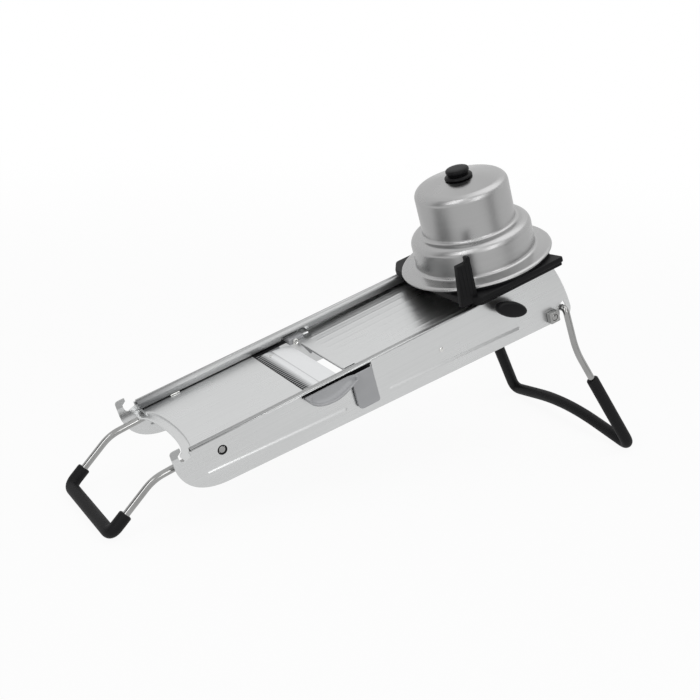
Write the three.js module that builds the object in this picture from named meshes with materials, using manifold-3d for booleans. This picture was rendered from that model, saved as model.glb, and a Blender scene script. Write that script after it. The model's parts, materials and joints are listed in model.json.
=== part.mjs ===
// A stainless steel mandoline vegetable slicer, standing on its wire handle and wire leg.
// Every length is in millimetres. The bed's own frame is used throughout: u runs up the bed from
// its low end, v runs across it from its middle line, and n stands square to it, zero at the rails.
import * as THREE from 'three';
import { mergeVertices } from 'three/addons/utils/BufferGeometryUtils.js';
import Module from 'manifold-3d';

const wasm = await Module();
wasm.setup();

// Driving sizes of the body
const bodyWidth = 125;
const wallSheet = 1.5;
const railWidth = 8;
const bedDrop = 8;
const bedSheet = 1;
const fit = 0.3;
const running = 0.5;
const overrun = 2;

// Driving places along the bed
const lipU = 2;
const blockSeatU = 117.1;
const bladeLowU = 117.4;
const bladeHighU = 150.3;
const sliceGap = 9.9;
const rampLowU = bladeHighU + sliceGap;
const rampHingeU = 366;
const domeU = 329.8;
const wallEndU = 376.5;

// Driving sizes of the wires
const wireRadius = 3;
const sleeveRadius = 5.5;
const sleeveBore = 3.5;
const gripU = -71;
const gripN = -40.7;
const footU = 394.4;
const footN = -191.6;

// Places worked out from the driving sizes
const half = bodyWidth / 2;
const wallInner = half - wallSheet;
const bedHalf = wallInner - fit;
const bedTop = -bedDrop;
const bedUnder = bedTop - bedSheet;

// Finishes of the real pieces
const brushedSteel = { color: 0xc3c5c6, roughness: 0.36, metalness: 1 };
const spunSteel = { color: 0xb9bab9, roughness: 0.3, metalness: 1 };
const polishedWire = { color: 0xd8d9d9, roughness: 0.18, metalness: 1 };
const greyCasting = { color: 0x8f9193, roughness: 0.5, metalness: 0.8 };
const blackPlastic = { color: 0x17181a, roughness: 0.45, metalness: 0 };
const blackRubber = { color: 0x1b1c1e, roughness: 0.65, metalness: 0 };

const slicer = new THREE.Group();
const bed = new THREE.Group();
slicer.add(bed);

// Turns a closed geometry into a solid that can be joined and cut
function solidOf(geometry) {
  const bare = geometry.clone();
  bare.deleteAttribute('normal');
  bare.deleteAttribute('uv');
  const merged = mergeVertices(bare);
  const vertProperties = merged.attributes.position.array;
  const triVerts = new Uint32Array(merged.index.array);
  return new wasm.Manifold(new wasm.Mesh({ numProp: 3, vertProperties, triVerts }));
}

// Turns a solid back into a geometry
function geometryOf(solid) {
  const mesh = solid.getMesh();
  const geometry = new THREE.BufferGeometry();
  geometry.setAttribute('position', new THREE.BufferAttribute(mesh.vertProperties, mesh.numProp));
  geometry.setIndex(new THREE.BufferAttribute(mesh.triVerts, 1));
  return geometry;
}

// Adds one named piece to the bed
function addPiece(name, shape, finish) {
  const geometry = shape.isBufferGeometry ? shape : geometryOf(shape);
  const piece = new THREE.Mesh(geometry, new THREE.MeshStandardMaterial(finish));
  piece.name = name;
  bed.add(piece);
  return piece;
}

// A block between two corners, given in either order
function block(uFrom, uTo, vFrom, vTo, nFrom, nTo) {
  const size = [uTo - uFrom, vTo - vFrom, nTo - nFrom].map(Math.abs);
  const geometry = new THREE.BoxGeometry(...size);
  geometry.translate((uFrom + uTo) / 2, (vFrom + vTo) / 2, (nFrom + nTo) / 2);
  return solidOf(geometry);
}

// A round bar across the bed, between two v in either order
function crossBar(u, n, radius, vFrom, vTo, sides = 16) {
  const geometry = new THREE.CylinderGeometry(radius, radius, Math.abs(vTo - vFrom), sides);
  geometry.translate(u, (vFrom + vTo) / 2, n);
  return solidOf(geometry);
}

// The bore that a round bar across the bed runs in, cut past both faces
function crossBore(u, n, radius, vFrom, vTo) {
  return crossBar(u, n, radius + fit, Math.min(vFrom, vTo) - overrun, Math.max(vFrom, vTo) + overrun);
}

// A round bar square to the bed, from one n to another
function upright(u, v, radius, nFrom, nTo, sides = 16) {
  const geometry = new THREE.CylinderGeometry(radius, radius, nTo - nFrom, sides);
  geometry.rotateX(Math.PI / 2);
  geometry.translate(u, v, (nFrom + nTo) / 2);
  return solidOf(geometry);
}

// A plate drawn in side view, lying between two v in either order
function sidePlate(shape, vFrom, vTo, curveSegments = 6) {
  const options = { depth: Math.abs(vTo - vFrom), bevelEnabled: false, curveSegments };
  const geometry = new THREE.ExtrudeGeometry(shape, options);
  geometry.rotateX(Math.PI / 2);
  geometry.translate(0, Math.max(vFrom, vTo), 0);
  return solidOf(geometry);
}

// A plate drawn in plan, lying between two n
function planPlate(shape, nFrom, nTo, curveSegments = 8) {
  const options = { depth: nTo - nFrom, bevelEnabled: false, curveSegments };
  const geometry = new THREE.ExtrudeGeometry(shape, options);
  geometry.translate(0, 0, nFrom);
  return solidOf(geometry);
}

// A turned piece whose profile lists radius and n, standing at one u on the middle line
function turned(profile, u, segments = 32) {
  const points = profile.map(([radius, n]) => new THREE.Vector2(radius, n));
  const geometry = new THREE.LatheGeometry(points, segments);
  geometry.rotateX(Math.PI / 2);
  geometry.translate(u, 0, 0);
  return geometry;
}

// A wire bent at its corners: straight between them, and rounded by each corner's own tangent length
class BentWire extends THREE.Curve {
  constructor(corners) {
    super();
    this.stations = [corners[0].at];
    for (let i = 1; i < corners.length - 1; i += 1) {
      const { at, round, steps = 5 } = corners[i];
      const entry = towards(at, corners[i - 1].at, round);
      const exit = towards(at, corners[i + 1].at, round);
      const bend = new THREE.QuadraticBezierCurve3(entry, at, exit);
      this.stations.push(...bend.getPoints(steps));
    }
    this.stations.push(corners[corners.length - 1].at);
  }

  getPoint(t, target = new THREE.Vector3()) {
    const place = t * (this.stations.length - 1);
    const index = Math.min(Math.floor(Math.max(place, 0)), this.stations.length - 2);
    return target.lerpVectors(this.stations[index], this.stations[index + 1], place - index);
  }

  // The stations are the steps of the sweep, so the curve isn't spaced by its length
  getUtoTmapping(u) {
    return u;
  }
}

// The point that lies a distance from one point towards another
function towards(point, other, distance) {
  return other.clone().sub(point).setLength(distance).add(point);
}

// A tube or rod swept along a bent wire, with an optional bore
function swept(wire, radius, bore = 0, sides = 10) {
  const section = ringShape(radius, sides);
  if (bore > 0) {
    section.holes.push(ringShape(bore, sides));
  }
  const steps = wire.stations.length - 1;
  return new THREE.ExtrudeGeometry(section, { steps, extrudePath: wire, bevelEnabled: false });
}

// A regular ring of points as a shape
function ringShape(radius, sides) {
  const points = [];
  for (let i = 0; i < sides; i += 1) {
    const angle = (i / sides) * 2 * Math.PI;
    points.push(new THREE.Vector2(radius * Math.cos(angle), radius * Math.sin(angle)));
  }
  return new THREE.Shape(points);
}

// A long shape with round ends, drawn about its own middle and turned
function roundEnded(length, width, turn = 0) {
  const radius = width / 2;
  const reach = length / 2 - radius;
  const shape = new THREE.Shape();
  const x = reach * Math.cos(turn);
  const y = reach * Math.sin(turn);
  shape.absarc(x, y, radius, turn - Math.PI / 2, turn + Math.PI / 2, false);
  shape.absarc(-x, -y, radius, turn + Math.PI / 2, turn + 1.5 * Math.PI, false);
  return shape;
}

// The front handle's pivot and the rear leg's axle, which the walls carry
const pivotU = 31.3;
const pivotN = bedUnder - fit - wireRadius;
const pivotHoleRadius = 4.2;
const axleU = 354.5;
const axleN = -43;
const axleRadius = 3;

// The thickness shaft, which the near wall carries
const knobU = 309.5;
const knobN = -13;
const knobTurn = THREE.MathUtils.degToRad(-30);
const knobOffset = 4.6;
const shaftU = knobU + knobOffset * Math.cos(knobTurn);
const shaftN = knobN + knobOffset * Math.sin(knobTurn);
const shaftRadius = 2.5;
const camRadius = 4.6;
const camThrow = 1.1;

// The side walls: pressed sheet with a folded rail, a hook at the low end and a round high end
const wallDepthLow = 35;
const wallDepthHigh = 51.2;
const bellyU = 29;
const wallTopEndU = 366;
const wallNoseN = -42;
const wallHeelU = 371;
const railStartU = 8;
const hookTop = 5.5;
const hookOuterU = -9.5;
const hookTipU = -0.5;
const hookLip = 2.6;
const hookWidth = 5.6;
const hookRound = 3.5;
const notchDepth = 7;
const railShoulder = 2;
const bellyRoundShares = { lowU: 0.42, sideN: 0.55 };

function wallOutline() {
  const hookInnerU = hookOuterU + hookWidth;
  const notchU = railStartU - railShoulder;
  const shape = new THREE.Shape();
  shape.moveTo(railStartU, 0);
  shape.lineTo(wallTopEndU, 0);
  shape.quadraticCurveTo(wallEndU - railShoulder, wallNoseN / 2, wallEndU, wallNoseN);
  shape.quadraticCurveTo(wallEndU, -wallDepthHigh + railShoulder, wallHeelU, -wallDepthHigh);
  shape.lineTo(bellyU, -wallDepthLow);
  const lowControlU = bellyU + (hookOuterU - bellyU) * bellyRoundShares.lowU * 2;
  const sideControlN = -wallDepthLow * bellyRoundShares.sideN;
  shape.bezierCurveTo(lowControlU, -wallDepthLow, hookOuterU, sideControlN, hookOuterU, -notchDepth);
  shape.lineTo(hookOuterU, hookTop - hookRound);
  shape.quadraticCurveTo(hookOuterU, hookTop, hookOuterU + hookRound, hookTop);
  shape.lineTo(hookTipU, hookTop);
  shape.lineTo(hookTipU, hookTop - hookLip);
  shape.lineTo(hookInnerU, hookTop - 2 * hookLip);
  shape.quadraticCurveTo(hookInnerU, -notchDepth, hookInnerU + hookRound, -notchDepth);
  shape.lineTo(notchU, -notchDepth + railShoulder);
  shape.lineTo(notchU, -railShoulder);
  return shape;
}

// The opening in a wall round the leg's wire: a band of a ring about the axle
const legNotchInner = 9.5;
const legNotchOuter = 17.5;
const legNotchFrom = THREE.MathUtils.degToRad(62);
const legNotchTo = THREE.MathUtils.degToRad(-130);

function legNotch() {
  const shape = new THREE.Shape();
  shape.absarc(axleU, axleN, legNotchOuter, legNotchFrom, legNotchTo, true);
  shape.absarc(axleU, axleN, legNotchInner, legNotchTo, legNotchFrom, false);
  return shape;
}

// The beads pressed into the walls: each a shallow ridge outside and a groove inside
const beadWidth = 7;
const beadRise = 1;
const beadFloorShare = 0.55;
const beadEndInset = 36.5;
const lowBead = { fromU: 15, toU: 140, aboveEdge: 8 };
const highBead = { fromU: 186, toU: axleU - beadEndInset, aboveEdge: 8.6 };

function wallEdgeN(u) {
  return -wallDepthLow - ((wallDepthHigh - wallDepthLow) * (u - bellyU)) / (wallHeelU - bellyU);
}

function beadShape({ fromU, toU, aboveEdge }, width) {
  const from = new THREE.Vector2(fromU, wallEdgeN(fromU) + aboveEdge);
  const to = new THREE.Vector2(toU, wallEdgeN(toU) + aboveEdge);
  const span = to.clone().sub(from);
  const shape = roundEnded(span.length() + width, width, span.angle());
  const middle = from.add(to).multiplyScalar(0.5);
  return new THREE.Shape(shape.getPoints(6).map((point) => point.add(middle)));
}

// The bar under the ramp's low edge, which reaches through the near wall
const rampBarSetback = 2.8;
const rampBarWidth = 9;
const rampBarLowU = rampLowU + rampBarSetback;
const rampBarHighU = rampBarLowU + rampBarWidth;

// The tab on the near end of that bar, outside the near wall
const tabLowMargin = 11.4;
const tabLowU = rampBarLowU - tabLowMargin;
const tabSheet = 1.2;
const tabStandoff = 2.4;
const tabFace = -half - tabStandoff - tabSheet;

// The slot in the near wall for the blade block, and its deeper window for the ramp's bar
const slotLowMargin = 10.1;
const windowLowMargin = 2.5;
const windowHighMargin = 1.6;
const slotLowU = blockSeatU - slotLowMargin;
const slotHighU = rampBarHighU + windowHighMargin;
const slotTopN = -2;
const slotBottomN = -13.4;
const windowLowU = rampBarLowU - windowLowMargin;
const windowBottomN = -22.5;

// The stop pin under the thickness knob
const stopPinU = 319;
const stopPinN = -27;
const stopPinRadius = 1.5;
const stopPinRise = 1.2;

// The small rivet that closes the wall's inner stiffener
const rivetU = 240;
const rivetN = -22.3;
const rivetRadius = 1.6;
const rivetHead = 0.8;

// side is -1 for the near wall and 1 for the far wall
function sideWall(side) {
  const outer = side * half;
  const inner = side * wallInner;
  let wall = sidePlate(wallOutline(), inner, outer);
  wall = wall.add(block(railStartU, wallTopEndU, side * (half - railWidth), outer, -wallSheet, 0));
  for (const bead of [lowBead, highBead]) {
    const ridge = beadShape(bead, beadWidth);
    const groove = beadShape(bead, beadWidth * beadFloorShare);
    wall = wall.add(sidePlate(ridge, inner, outer + side * beadRise));
    wall = wall.subtract(sidePlate(groove, inner - side * overrun, inner + side * beadRise));
  }
  const cutFrom = inner - side * overrun;
  const cutTo = outer + side * overrun;
  wall = wall.subtract(crossBar(pivotU, pivotN, pivotHoleRadius, cutFrom, cutTo));
  wall = wall.subtract(sidePlate(legNotch(), cutFrom, cutTo, 8));
  wall = wall.subtract(crossBore(axleU, axleN, axleRadius, inner, outer));
  wall = wall.subtract(crossBore(shaftU, shaftN, shaftRadius, inner, outer));
  wall = wall.subtract(crossBore(rivetU, rivetN, rivetRadius, inner, outer));
  if (side < 0) {
    wall = wall.subtract(crossBore(stopPinU, stopPinN, stopPinRadius, inner, outer));
    wall = wall.subtract(block(slotLowU, slotHighU, cutFrom, cutTo, slotBottomN, slotTopN));
    wall = wall.subtract(block(windowLowU, slotHighU, cutFrom, cutTo, windowBottomN, slotTopN));
  }
  return wall;
}

addPiece('near_side_wall', sideWall(-1), brushedSteel);
addPiece('far_side_wall', sideWall(1), brushedSteel);

// The exit plate: the lower half of the bed, with a hollowed end that dips to a lip
const lipBend = 8;
const lipDip = 0.7;
const lipHollow = 9;
const flangeDrop = 4;

function exitPlate() {
  const sheet = planPlate(hollowedPlan(lipU + lipBend, blockSeatU), bedUnder, bedTop);
  const lip = planPlate(lipPlan(), bedUnder - lipDip, bedTop - lipDip);
  let plate = sheet.add(lip);
  const flangeLowU = pivotU + pivotHoleRadius + wireRadius;
  const flangeHighU = slotLowU - overrun;
  const flangeN = bedUnder - flangeDrop;
  for (const edge of [-bedHalf, bedHalf]) {
    const inner = edge - Math.sign(edge) * bedSheet;
    plate = plate.add(block(flangeLowU, flangeHighU, inner, edge, flangeN, bedTop));
  }
  return plate;
}

// A plan that is straight at the high side and hollow at the low side
function hollowedPlan(lowU, highU) {
  const shape = new THREE.Shape();
  shape.moveTo(lowU, -bedHalf);
  shape.lineTo(highU, -bedHalf);
  shape.lineTo(highU, bedHalf);
  shape.lineTo(lowU, bedHalf);
  shape.quadraticCurveTo(lowU + 2 * lipHollow, 0, lowU, -bedHalf);
  return shape;
}

// The plan of the lip: a band between two hollow curves
function lipPlan() {
  const backU = lipU + lipBend + 2 * lipDip;
  const shape = new THREE.Shape();
  shape.moveTo(lipU, -bedHalf);
  shape.lineTo(backU, -bedHalf);
  shape.quadraticCurveTo(backU + 2 * lipHollow, 0, backU, bedHalf);
  shape.lineTo(lipU, bedHalf);
  shape.quadraticCurveTo(lipU + 2 * lipHollow, 0, lipU, -bedHalf);
  return shape;
}

addPiece('exit_plate', exitPlate(), brushedSteel);

// The seat bar under the exit plate's edge, which carries the blade block
const seatBarLowU = 108;
const seatBarHighU = 124;
const seatBarSheet = 1.5;
const seatBarDepth = 7;
const seatTopN = slotBottomN;

function seatBar() {
  const webHighU = seatBarLowU + seatBarSheet;
  const top = block(seatBarLowU, seatBarHighU, -bedHalf, bedHalf, seatTopN - seatBarSheet, seatTopN);
  const web = block(seatBarLowU, webHighU, -bedHalf, bedHalf, seatTopN - seatBarDepth, seatTopN);
  return top.add(web);
}

addPiece('seat_bar', seatBar(), brushedSteel);

// The blade: a strip ground to a straight edge uphill and a fluted edge downhill
const bladeSheet = 1.2;
const bladeTop = bedTop;
const bladeHalf = bedHalf - running;
const bladeBevel = 6;
const fluteBand = 8;
const edgeThickness = 0.3;
const fluteCount = 26;
const fluteFillShare = 0.62;
const fluteDepth = 0.5;

// The blade block: a tray under the blade that pulls out of the near side by its grip
const blockSheet = 3.3;
const blockTop = bladeTop - bladeSheet - fit;
const blockUnder = blockTop - blockSheet;
const blockLowU = bladeLowU + 1;
const blockBarU = 14;
const blockHighU = bladeHighU - bladeBevel;
const blockArm = 6;
const blockTongueSheet = 2;

// The two rivets that hold the blade on its block
const blockRivetRadius = 1.8;
const blockRivetInset = 7;
const blockRivetU = blockLowU + blockBarU - 2 * blockRivetRadius;
const bladeFarV = 50;
const bladeFarSlant = 8;
const blockRivetV = [-bladeHalf + blockRivetInset, bladeFarV - blockRivetInset - bladeFarSlant / 2];

function blade() {
  const under = bladeTop - bladeSheet;
  const shape = new THREE.Shape();
  shape.moveTo(bladeLowU, under);
  shape.lineTo(bladeHighU, under);
  shape.lineTo(bladeHighU, under + edgeThickness);
  shape.lineTo(bladeHighU - bladeBevel, bladeTop);
  shape.lineTo(bladeLowU + fluteBand, bladeTop);
  shape.lineTo(bladeLowU, under + edgeThickness + fluteDepth);
  let strip = sidePlate(shape, -bladeHalf, bladeHalf);
  const pitch = (2 * bladeHalf) / (fluteCount + 1);
  const grooveHalf = (pitch * fluteFillShare) / 2;
  const groove = new THREE.Shape();
  groove.moveTo(bladeLowU - overrun, under + edgeThickness);
  groove.lineTo(bladeLowU, under + edgeThickness);
  groove.lineTo(bladeLowU + fluteBand - fluteDepth, bladeTop - edgeThickness);
  groove.lineTo(bladeLowU + fluteBand - fluteDepth, bladeTop + overrun);
  groove.lineTo(bladeLowU - overrun, bladeTop + overrun);
  for (let i = 1; i <= fluteCount; i += 1) {
    const v = -bladeHalf + i * pitch;
    strip = strip.subtract(sidePlate(groove, v - grooveHalf, v + grooveHalf));
  }
  for (const v of blockRivetV) {
    const hole = upright(blockRivetU, v, blockRivetRadius + fit, under - overrun, bladeTop + overrun);
    strip = strip.subtract(hole);
  }
  const farEnd = new THREE.Shape();
  farEnd.moveTo(bladeLowU - overrun, bladeFarV);
  farEnd.lineTo(bladeHighU + overrun, bladeFarV - bladeFarSlant);
  farEnd.lineTo(bladeHighU + overrun, half);
  farEnd.lineTo(bladeLowU - overrun, half);
  return strip.subtract(planPlate(farEnd, under - overrun, bladeTop + overrun));
}

function bladeBlock() {
  let tray = block(blockLowU, blockLowU + blockBarU, -bladeHalf, bladeHalf, blockUnder, blockTop);
  for (const outer of [-bladeHalf, bladeHalf]) {
    const inner = outer - Math.sign(outer) * blockArm;
    tray = tray.add(block(blockLowU, blockHighU, inner, outer, blockUnder, blockTop));
  }
  const tongueFrom = -bladeHalf + blockArm;
  const tongueTo = gripTongueV;
  const tongueTop = blockUnder + blockTongueSheet;
  tray = tray.add(block(blockLowU, blockHighU, tongueFrom, tongueTo, blockUnder, tongueTop));
  for (const v of blockRivetV) {
    const hole = upright(blockRivetU, v, blockRivetRadius + fit, blockUnder - overrun, blockTop + overrun);
    tray = tray.subtract(hole);
  }
  return tray;
}

// The grip: a half-moon scoop with a rim round its curve, open at its front and its top
const gripLowU = 109;
const gripHighU = 156;
const gripTopN = -3.6;
const gripBottomN = -15.6;
const gripReach = 9.5;
const gripRim = 2.4;
const gripDepth = 4.6;
const gripSkin = 0.95;
const gripEnd = 2.6;
const gripSide = 5;
const gripTongueV = -half - gripReach + gripDepth + gripSkin;

function halfMoon(inset) {
  const lowU = gripLowU + inset;
  const highU = gripHighU - inset;
  const bottom = gripBottomN + inset;
  const top = inset > 0 ? gripTopN + overrun : gripTopN;
  const startN = gripTopN - gripEnd;
  const shape = new THREE.Shape();
  shape.moveTo(highU, top);
  shape.lineTo(lowU, top);
  shape.lineTo(lowU, startN);
  const middle = (lowU + highU) / 2;
  shape.bezierCurveTo(lowU + gripSide, bottom, middle - gripSide, bottom, middle, bottom);
  shape.bezierCurveTo(middle + gripSide, bottom, highU - gripSide, bottom + gripSide, highU, startN);
  return shape;
}

function gripCup() {
  const face = -half - gripReach;
  const back = -half - fit - beadRise;
  const cup = sidePlate(halfMoon(0), face, back);
  const pocket = sidePlate(halfMoon(gripRim), face - overrun, face + gripDepth);
  const tongueHole = block(
    blockLowU - fit, blockHighU + fit, gripTongueV - fit, back + overrun,
    blockUnder - fit, blockUnder + blockTongueSheet + fit,
  );
  const tabRoom = block(
    tabLowU - running, gripHighU + overrun, tabFace - fit, back + overrun,
    gripBottomN - overrun, gripTopN + overrun,
  );
  return cup.subtract(pocket).subtract(tongueHole).subtract(tabRoom);
}

addPiece('blade', blade(), brushedSteel);
addPiece('blade_block', bladeBlock(), greyCasting);
addPiece('blade_block_grip', gripCup(), greyCasting);
blockRivetV.forEach((v, i) => {
  const name = i === 0 ? 'blade_rivet_near' : 'blade_rivet_far';
  addPiece(name, upright(blockRivetU, v, blockRivetRadius, blockUnder + fit, bladeTop + fit), polishedWire);
});

// The bushes on the insides of the walls, which hold the ramp's hinge pin
const bushReach = 4;
const bushRadius = 4.2;

// The ramp: the upper half of the bed, hinged at the high end, ribbed so that food slides
const rampDropLow = 3;
const rampSheet = 1;
const rampHingeN = -11.6;
const barrelRadius = 3.6;
const hingePinRadius = 2;
const ribCount = 11;
const ribWidth = 1.6;
const ribRise = 0.35;
const ribInset = 8;
const rampHighU = rampHingeU;
const rampLowTop = bedTop - rampDropLow;
const rampHighTop = rampHingeN + barrelRadius;

// The room that the ramp's far low corner leaves for its bracket's hub
const hubHighU = 168;
const hubInnerV = 50;
const hubRivetU = 159;
const hubRivetRadius = 3;
const hubRivetHead = 1.2;

function rampTopN(u) {
  return rampLowTop + ((rampHighTop - rampLowTop) * (u - rampLowU)) / (rampHighU - rampLowU);
}

function rampPlate() {
  const shape = new THREE.Shape();
  shape.moveTo(rampLowU, rampLowTop);
  shape.lineTo(rampLowU, rampLowTop - rampSheet);
  shape.lineTo(rampHighU, rampHighTop - rampSheet);
  shape.lineTo(rampHighU, rampHighTop);
  const halfWidth = bedHalf - running;
  let plate = sidePlate(shape, -halfWidth, halfWidth);
  const ribHighU = rampHighU - 2 * barrelRadius;
  const rib = new THREE.Shape();
  rib.moveTo(rampLowU + ribInset, rampTopN(rampLowU + ribInset) - rampSheet / 2);
  rib.lineTo(ribHighU, rampTopN(ribHighU) - rampSheet / 2);
  rib.lineTo(ribHighU - ribRise, rampTopN(ribHighU - ribRise) + ribRise);
  rib.lineTo(rampLowU + ribInset + ribRise, rampTopN(rampLowU + ribInset + ribRise) + ribRise);
  const pitch = (2 * (halfWidth - ribInset)) / (ribCount - 1);
  for (let i = 0; i < ribCount; i += 1) {
    const v = -halfWidth + ribInset + i * pitch;
    plate = plate.add(sidePlate(rib, v - ribWidth / 2, v + ribWidth / 2));
  }
  const rivetHighU = hubRivetU + hubRivetRadius + fit;
  plate = plate.subtract(block(0, hubHighU + fit, hubInnerV - fit, half, -half, 0));
  plate = plate.subtract(block(0, rivetHighU, hubInnerV - hubRivetHead - 2 * fit, half, -half, 0));
  const barrelHalf = halfWidth - bushReach;
  plate = plate.add(crossBar(rampHingeU, rampHingeN, barrelRadius, -barrelHalf, barrelHalf));
  const clearU = rampHingeU - bushRadius - running;
  for (const side of [-1, 1]) {
    plate = plate.subtract(block(clearU, wallEndU, side * barrelHalf, side * half, -half, 0));
  }
  return plate.subtract(crossBore(rampHingeU, rampHingeN, hingePinRadius, -half, half));
}

function hingeBush(side) {
  const from = side * bedHalf;
  const to = side * (bedHalf - bushReach + fit);
  const body = crossBar(rampHingeU, rampHingeN, bushRadius, from, to);
  return body.subtract(crossBore(rampHingeU, rampHingeN, hingePinRadius, from, to));
}

// The bar that stiffens the ramp's low edge and ends in the tab outside the near wall
const rampBarDepth = 5;
const neckSheet = 1.4;
const tabTopN = -4;
const tabBottomN = -36.5;
const tabRound = 5;

function rampBar() {
  const top = rampTopN(rampBarHighU) - rampSheet - fit;
  const reach = -half - tabStandoff + fit;
  const bar = block(rampBarLowU, rampBarHighU, -half + railWidth, hubInnerV - fit, top - rampBarDepth, top);
  const neckTop = Math.min(top, slotTopN - rampDropLow - fit);
  const neckBottom = neckTop - neckSheet;
  return bar.add(block(rampBarLowU, rampBarHighU, reach, -half + railWidth + overrun, neckBottom, neckTop));
}

function thicknessTab() {
  const shape = new THREE.Shape();
  shape.moveTo(rampBarHighU, tabTopN);
  shape.lineTo(tabLowU, tabTopN);
  shape.lineTo(tabLowU, tabBottomN + tabRound);
  shape.quadraticCurveTo(tabLowU, tabBottomN, tabLowU + tabRound, tabBottomN);
  shape.lineTo(rampBarHighU - tabRound / 2, tabBottomN);
  shape.quadraticCurveTo(rampBarHighU, tabBottomN, rampBarHighU, tabBottomN + tabRound / 2);
  return sidePlate(shape, tabFace, tabFace + tabSheet);
}

addPiece('ramp_plate', rampPlate(), brushedSteel);
const hingePin = crossBar(rampHingeU, rampHingeN, hingePinRadius, -bedHalf, bedHalf);
addPiece('ramp_hinge_pin', hingePin, polishedWire);
addPiece('hinge_bush_near', hingeBush(-1), greyCasting);
addPiece('hinge_bush_far', hingeBush(1), greyCasting);
addPiece('ramp_bar', rampBar(), greyCasting);
addPiece('thickness_tab', thicknessTab(), greyCasting);

// The bracket at the ramp's far corner: a hub with a pointed arm, a ring rivet and a bright end tab
const hubLowU = 152.5;
const hubTopN = -7.6;
const hubBottomN = -13;
const hubRound = 2;
const armHighU = 171.5;
const armFootN = -29;
const armSheet = 1.5;
const armTip = 2;
const hubRivetN = -11.4;
const farTabLength = 6;
const farTabHalf = 52;
const farTabRise = 2.4;

function farBracket() {
  const shape = new THREE.Shape();
  shape.moveTo(hubHighU, hubTopN);
  shape.lineTo(hubLowU + hubRound, hubTopN);
  shape.quadraticCurveTo(hubLowU, hubTopN, hubLowU, hubTopN - hubRound);
  shape.lineTo(hubLowU, hubBottomN);
  shape.lineTo(hubHighU, hubBottomN);
  const arm = new THREE.Shape();
  arm.moveTo(hubHighU, hubBottomN + overrun);
  arm.lineTo(rampBarLowU - armTip, hubBottomN + overrun);
  arm.lineTo(armHighU - armTip, armFootN);
  arm.lineTo(armHighU, armFootN);
  const hub = sidePlate(shape, hubInnerV, bedHalf - running);
  return hub.add(sidePlate(arm, hubInnerV, hubInnerV + armSheet));
}

function farRivet() {
  const to = hubInnerV - fit;
  return crossBar(hubRivetU, hubRivetN, hubRivetRadius, to - hubRivetHead, to, 12);
}

function farTab() {
  const low = hubHighU + 2 * fit;
  const bottom = rampTopN(rampBarHighU) + fit + ribRise;
  return block(low, low + farTabLength, farTabHalf, bedHalf - running, bottom, bottom + farTabRise);
}

addPiece('ramp_far_bracket', farBracket(), greyCasting);
addPiece('ramp_far_rivet', farRivet(), polishedWire);
addPiece('ramp_far_tab', farTab(), brushedSteel);

// The thickness knob: an oval head on a shaft that turns two cams under the ramp
const knobLength = 32;
const knobWidth = 13.8;
const knobNeckRadius = 5.5;
const knobNeck = 6.3;
const knobHead = 7;
const knobRim = 1.6;
const camWidth = 6;
const camInset = 14;
const camTurn = THREE.MathUtils.degToRad(60);
const washerSheet = 1;
const washerRadius = 7.5;

function knob() {
  const neckFrom = -half - knobNeck - overrun;
  const neck = crossBar(shaftU, shaftN, knobNeckRadius, neckFrom, -half - fit);
  const outline = new THREE.Shape();
  const reach = knobLength / 2 - knobRim;
  const rise = knobWidth / 2 - knobRim;
  outline.absellipse(0, 0, reach, rise, 0, 2 * Math.PI, false, knobTurn);
  const bevel = { bevelSize: knobRim, bevelThickness: knobRim, bevelSegments: 2, curveSegments: 14 };
  const head = new THREE.ExtrudeGeometry(outline, { depth: knobHead - 2 * knobRim, ...bevel });
  head.rotateX(Math.PI / 2);
  head.translate(knobU, -half - knobNeck - knobRim, knobN);
  const socket = crossBar(shaftU, shaftN, shaftRadius + fit, -half - knobNeck, -half + overrun, 12);
  return neck.add(solidOf(head)).subtract(socket);
}

function cam(side) {
  const middle = side * (bedHalf - camInset);
  const offsetU = camThrow * Math.sin(camTurn);
  const offsetN = camThrow * Math.cos(camTurn);
  const from = middle - camWidth / 2;
  const to = middle + camWidth / 2;
  const disc = crossBar(shaftU + offsetU, shaftN + offsetN, camRadius, from, to);
  return disc.subtract(crossBore(shaftU, shaftN, shaftRadius, from, to));
}

const knobShaftFrom = -half - knobNeck + fit;
const knobShaftTo = half + washerSheet + 2 * fit;
addPiece('thickness_knob', knob(), blackPlastic);
const shaft = crossBar(shaftU, shaftN, shaftRadius, knobShaftFrom, knobShaftTo);
addPiece('thickness_shaft', shaft, polishedWire);
addPiece('thickness_cam_near', cam(-1), blackPlastic);
addPiece('thickness_cam_far', cam(1), blackPlastic);

// The clip that keeps the shaft in the far wall
function shaftClip() {
  const from = half + fit;
  const to = from + washerSheet;
  const ring = crossBar(shaftU, shaftN, washerRadius, from, to);
  return ring.subtract(crossBore(shaftU, shaftN, shaftRadius, from, to));
}

addPiece('thickness_shaft_clip', shaftClip(), polishedWire);
const stopPin = crossBar(stopPinU, stopPinN, stopPinRadius, -half - stopPinRise, -wallInner + fit, 12);
addPiece('knob_stop_pin', stopPin, polishedWire);

// The rivets in the walls
function wallRivet(side) {
  const inner = side * (wallInner - fit);
  const outer = side * (half + fit);
  const tip = outer + side * rivetHead;
  const stem = crossBar(rivetU, rivetN, rivetRadius, inner, tip, 12);
  return stem.add(crossBar(rivetU, rivetN, rivetRadius + 2 * fit, outer, tip, 12));
}

addPiece('wall_rivet_near', wallRivet(-1), polishedWire);
addPiece('wall_rivet_far', wallRivet(1), polishedWire);

// The front handle: one bent wire hinged in the walls, with a rubber sleeve on its grip
const handleInset = 12.1;
const handleHalf = half - handleInset;
const handleBendU = -25.4;
const handleBendN = -14.6;
const handleCorner = 8;
const handleBend = 9;
const sleeveStartShare = 0.64;
const pivotCorner = 6;

function point(u, v, n) {
  return new THREE.Vector3(u, v, n);
}

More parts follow.
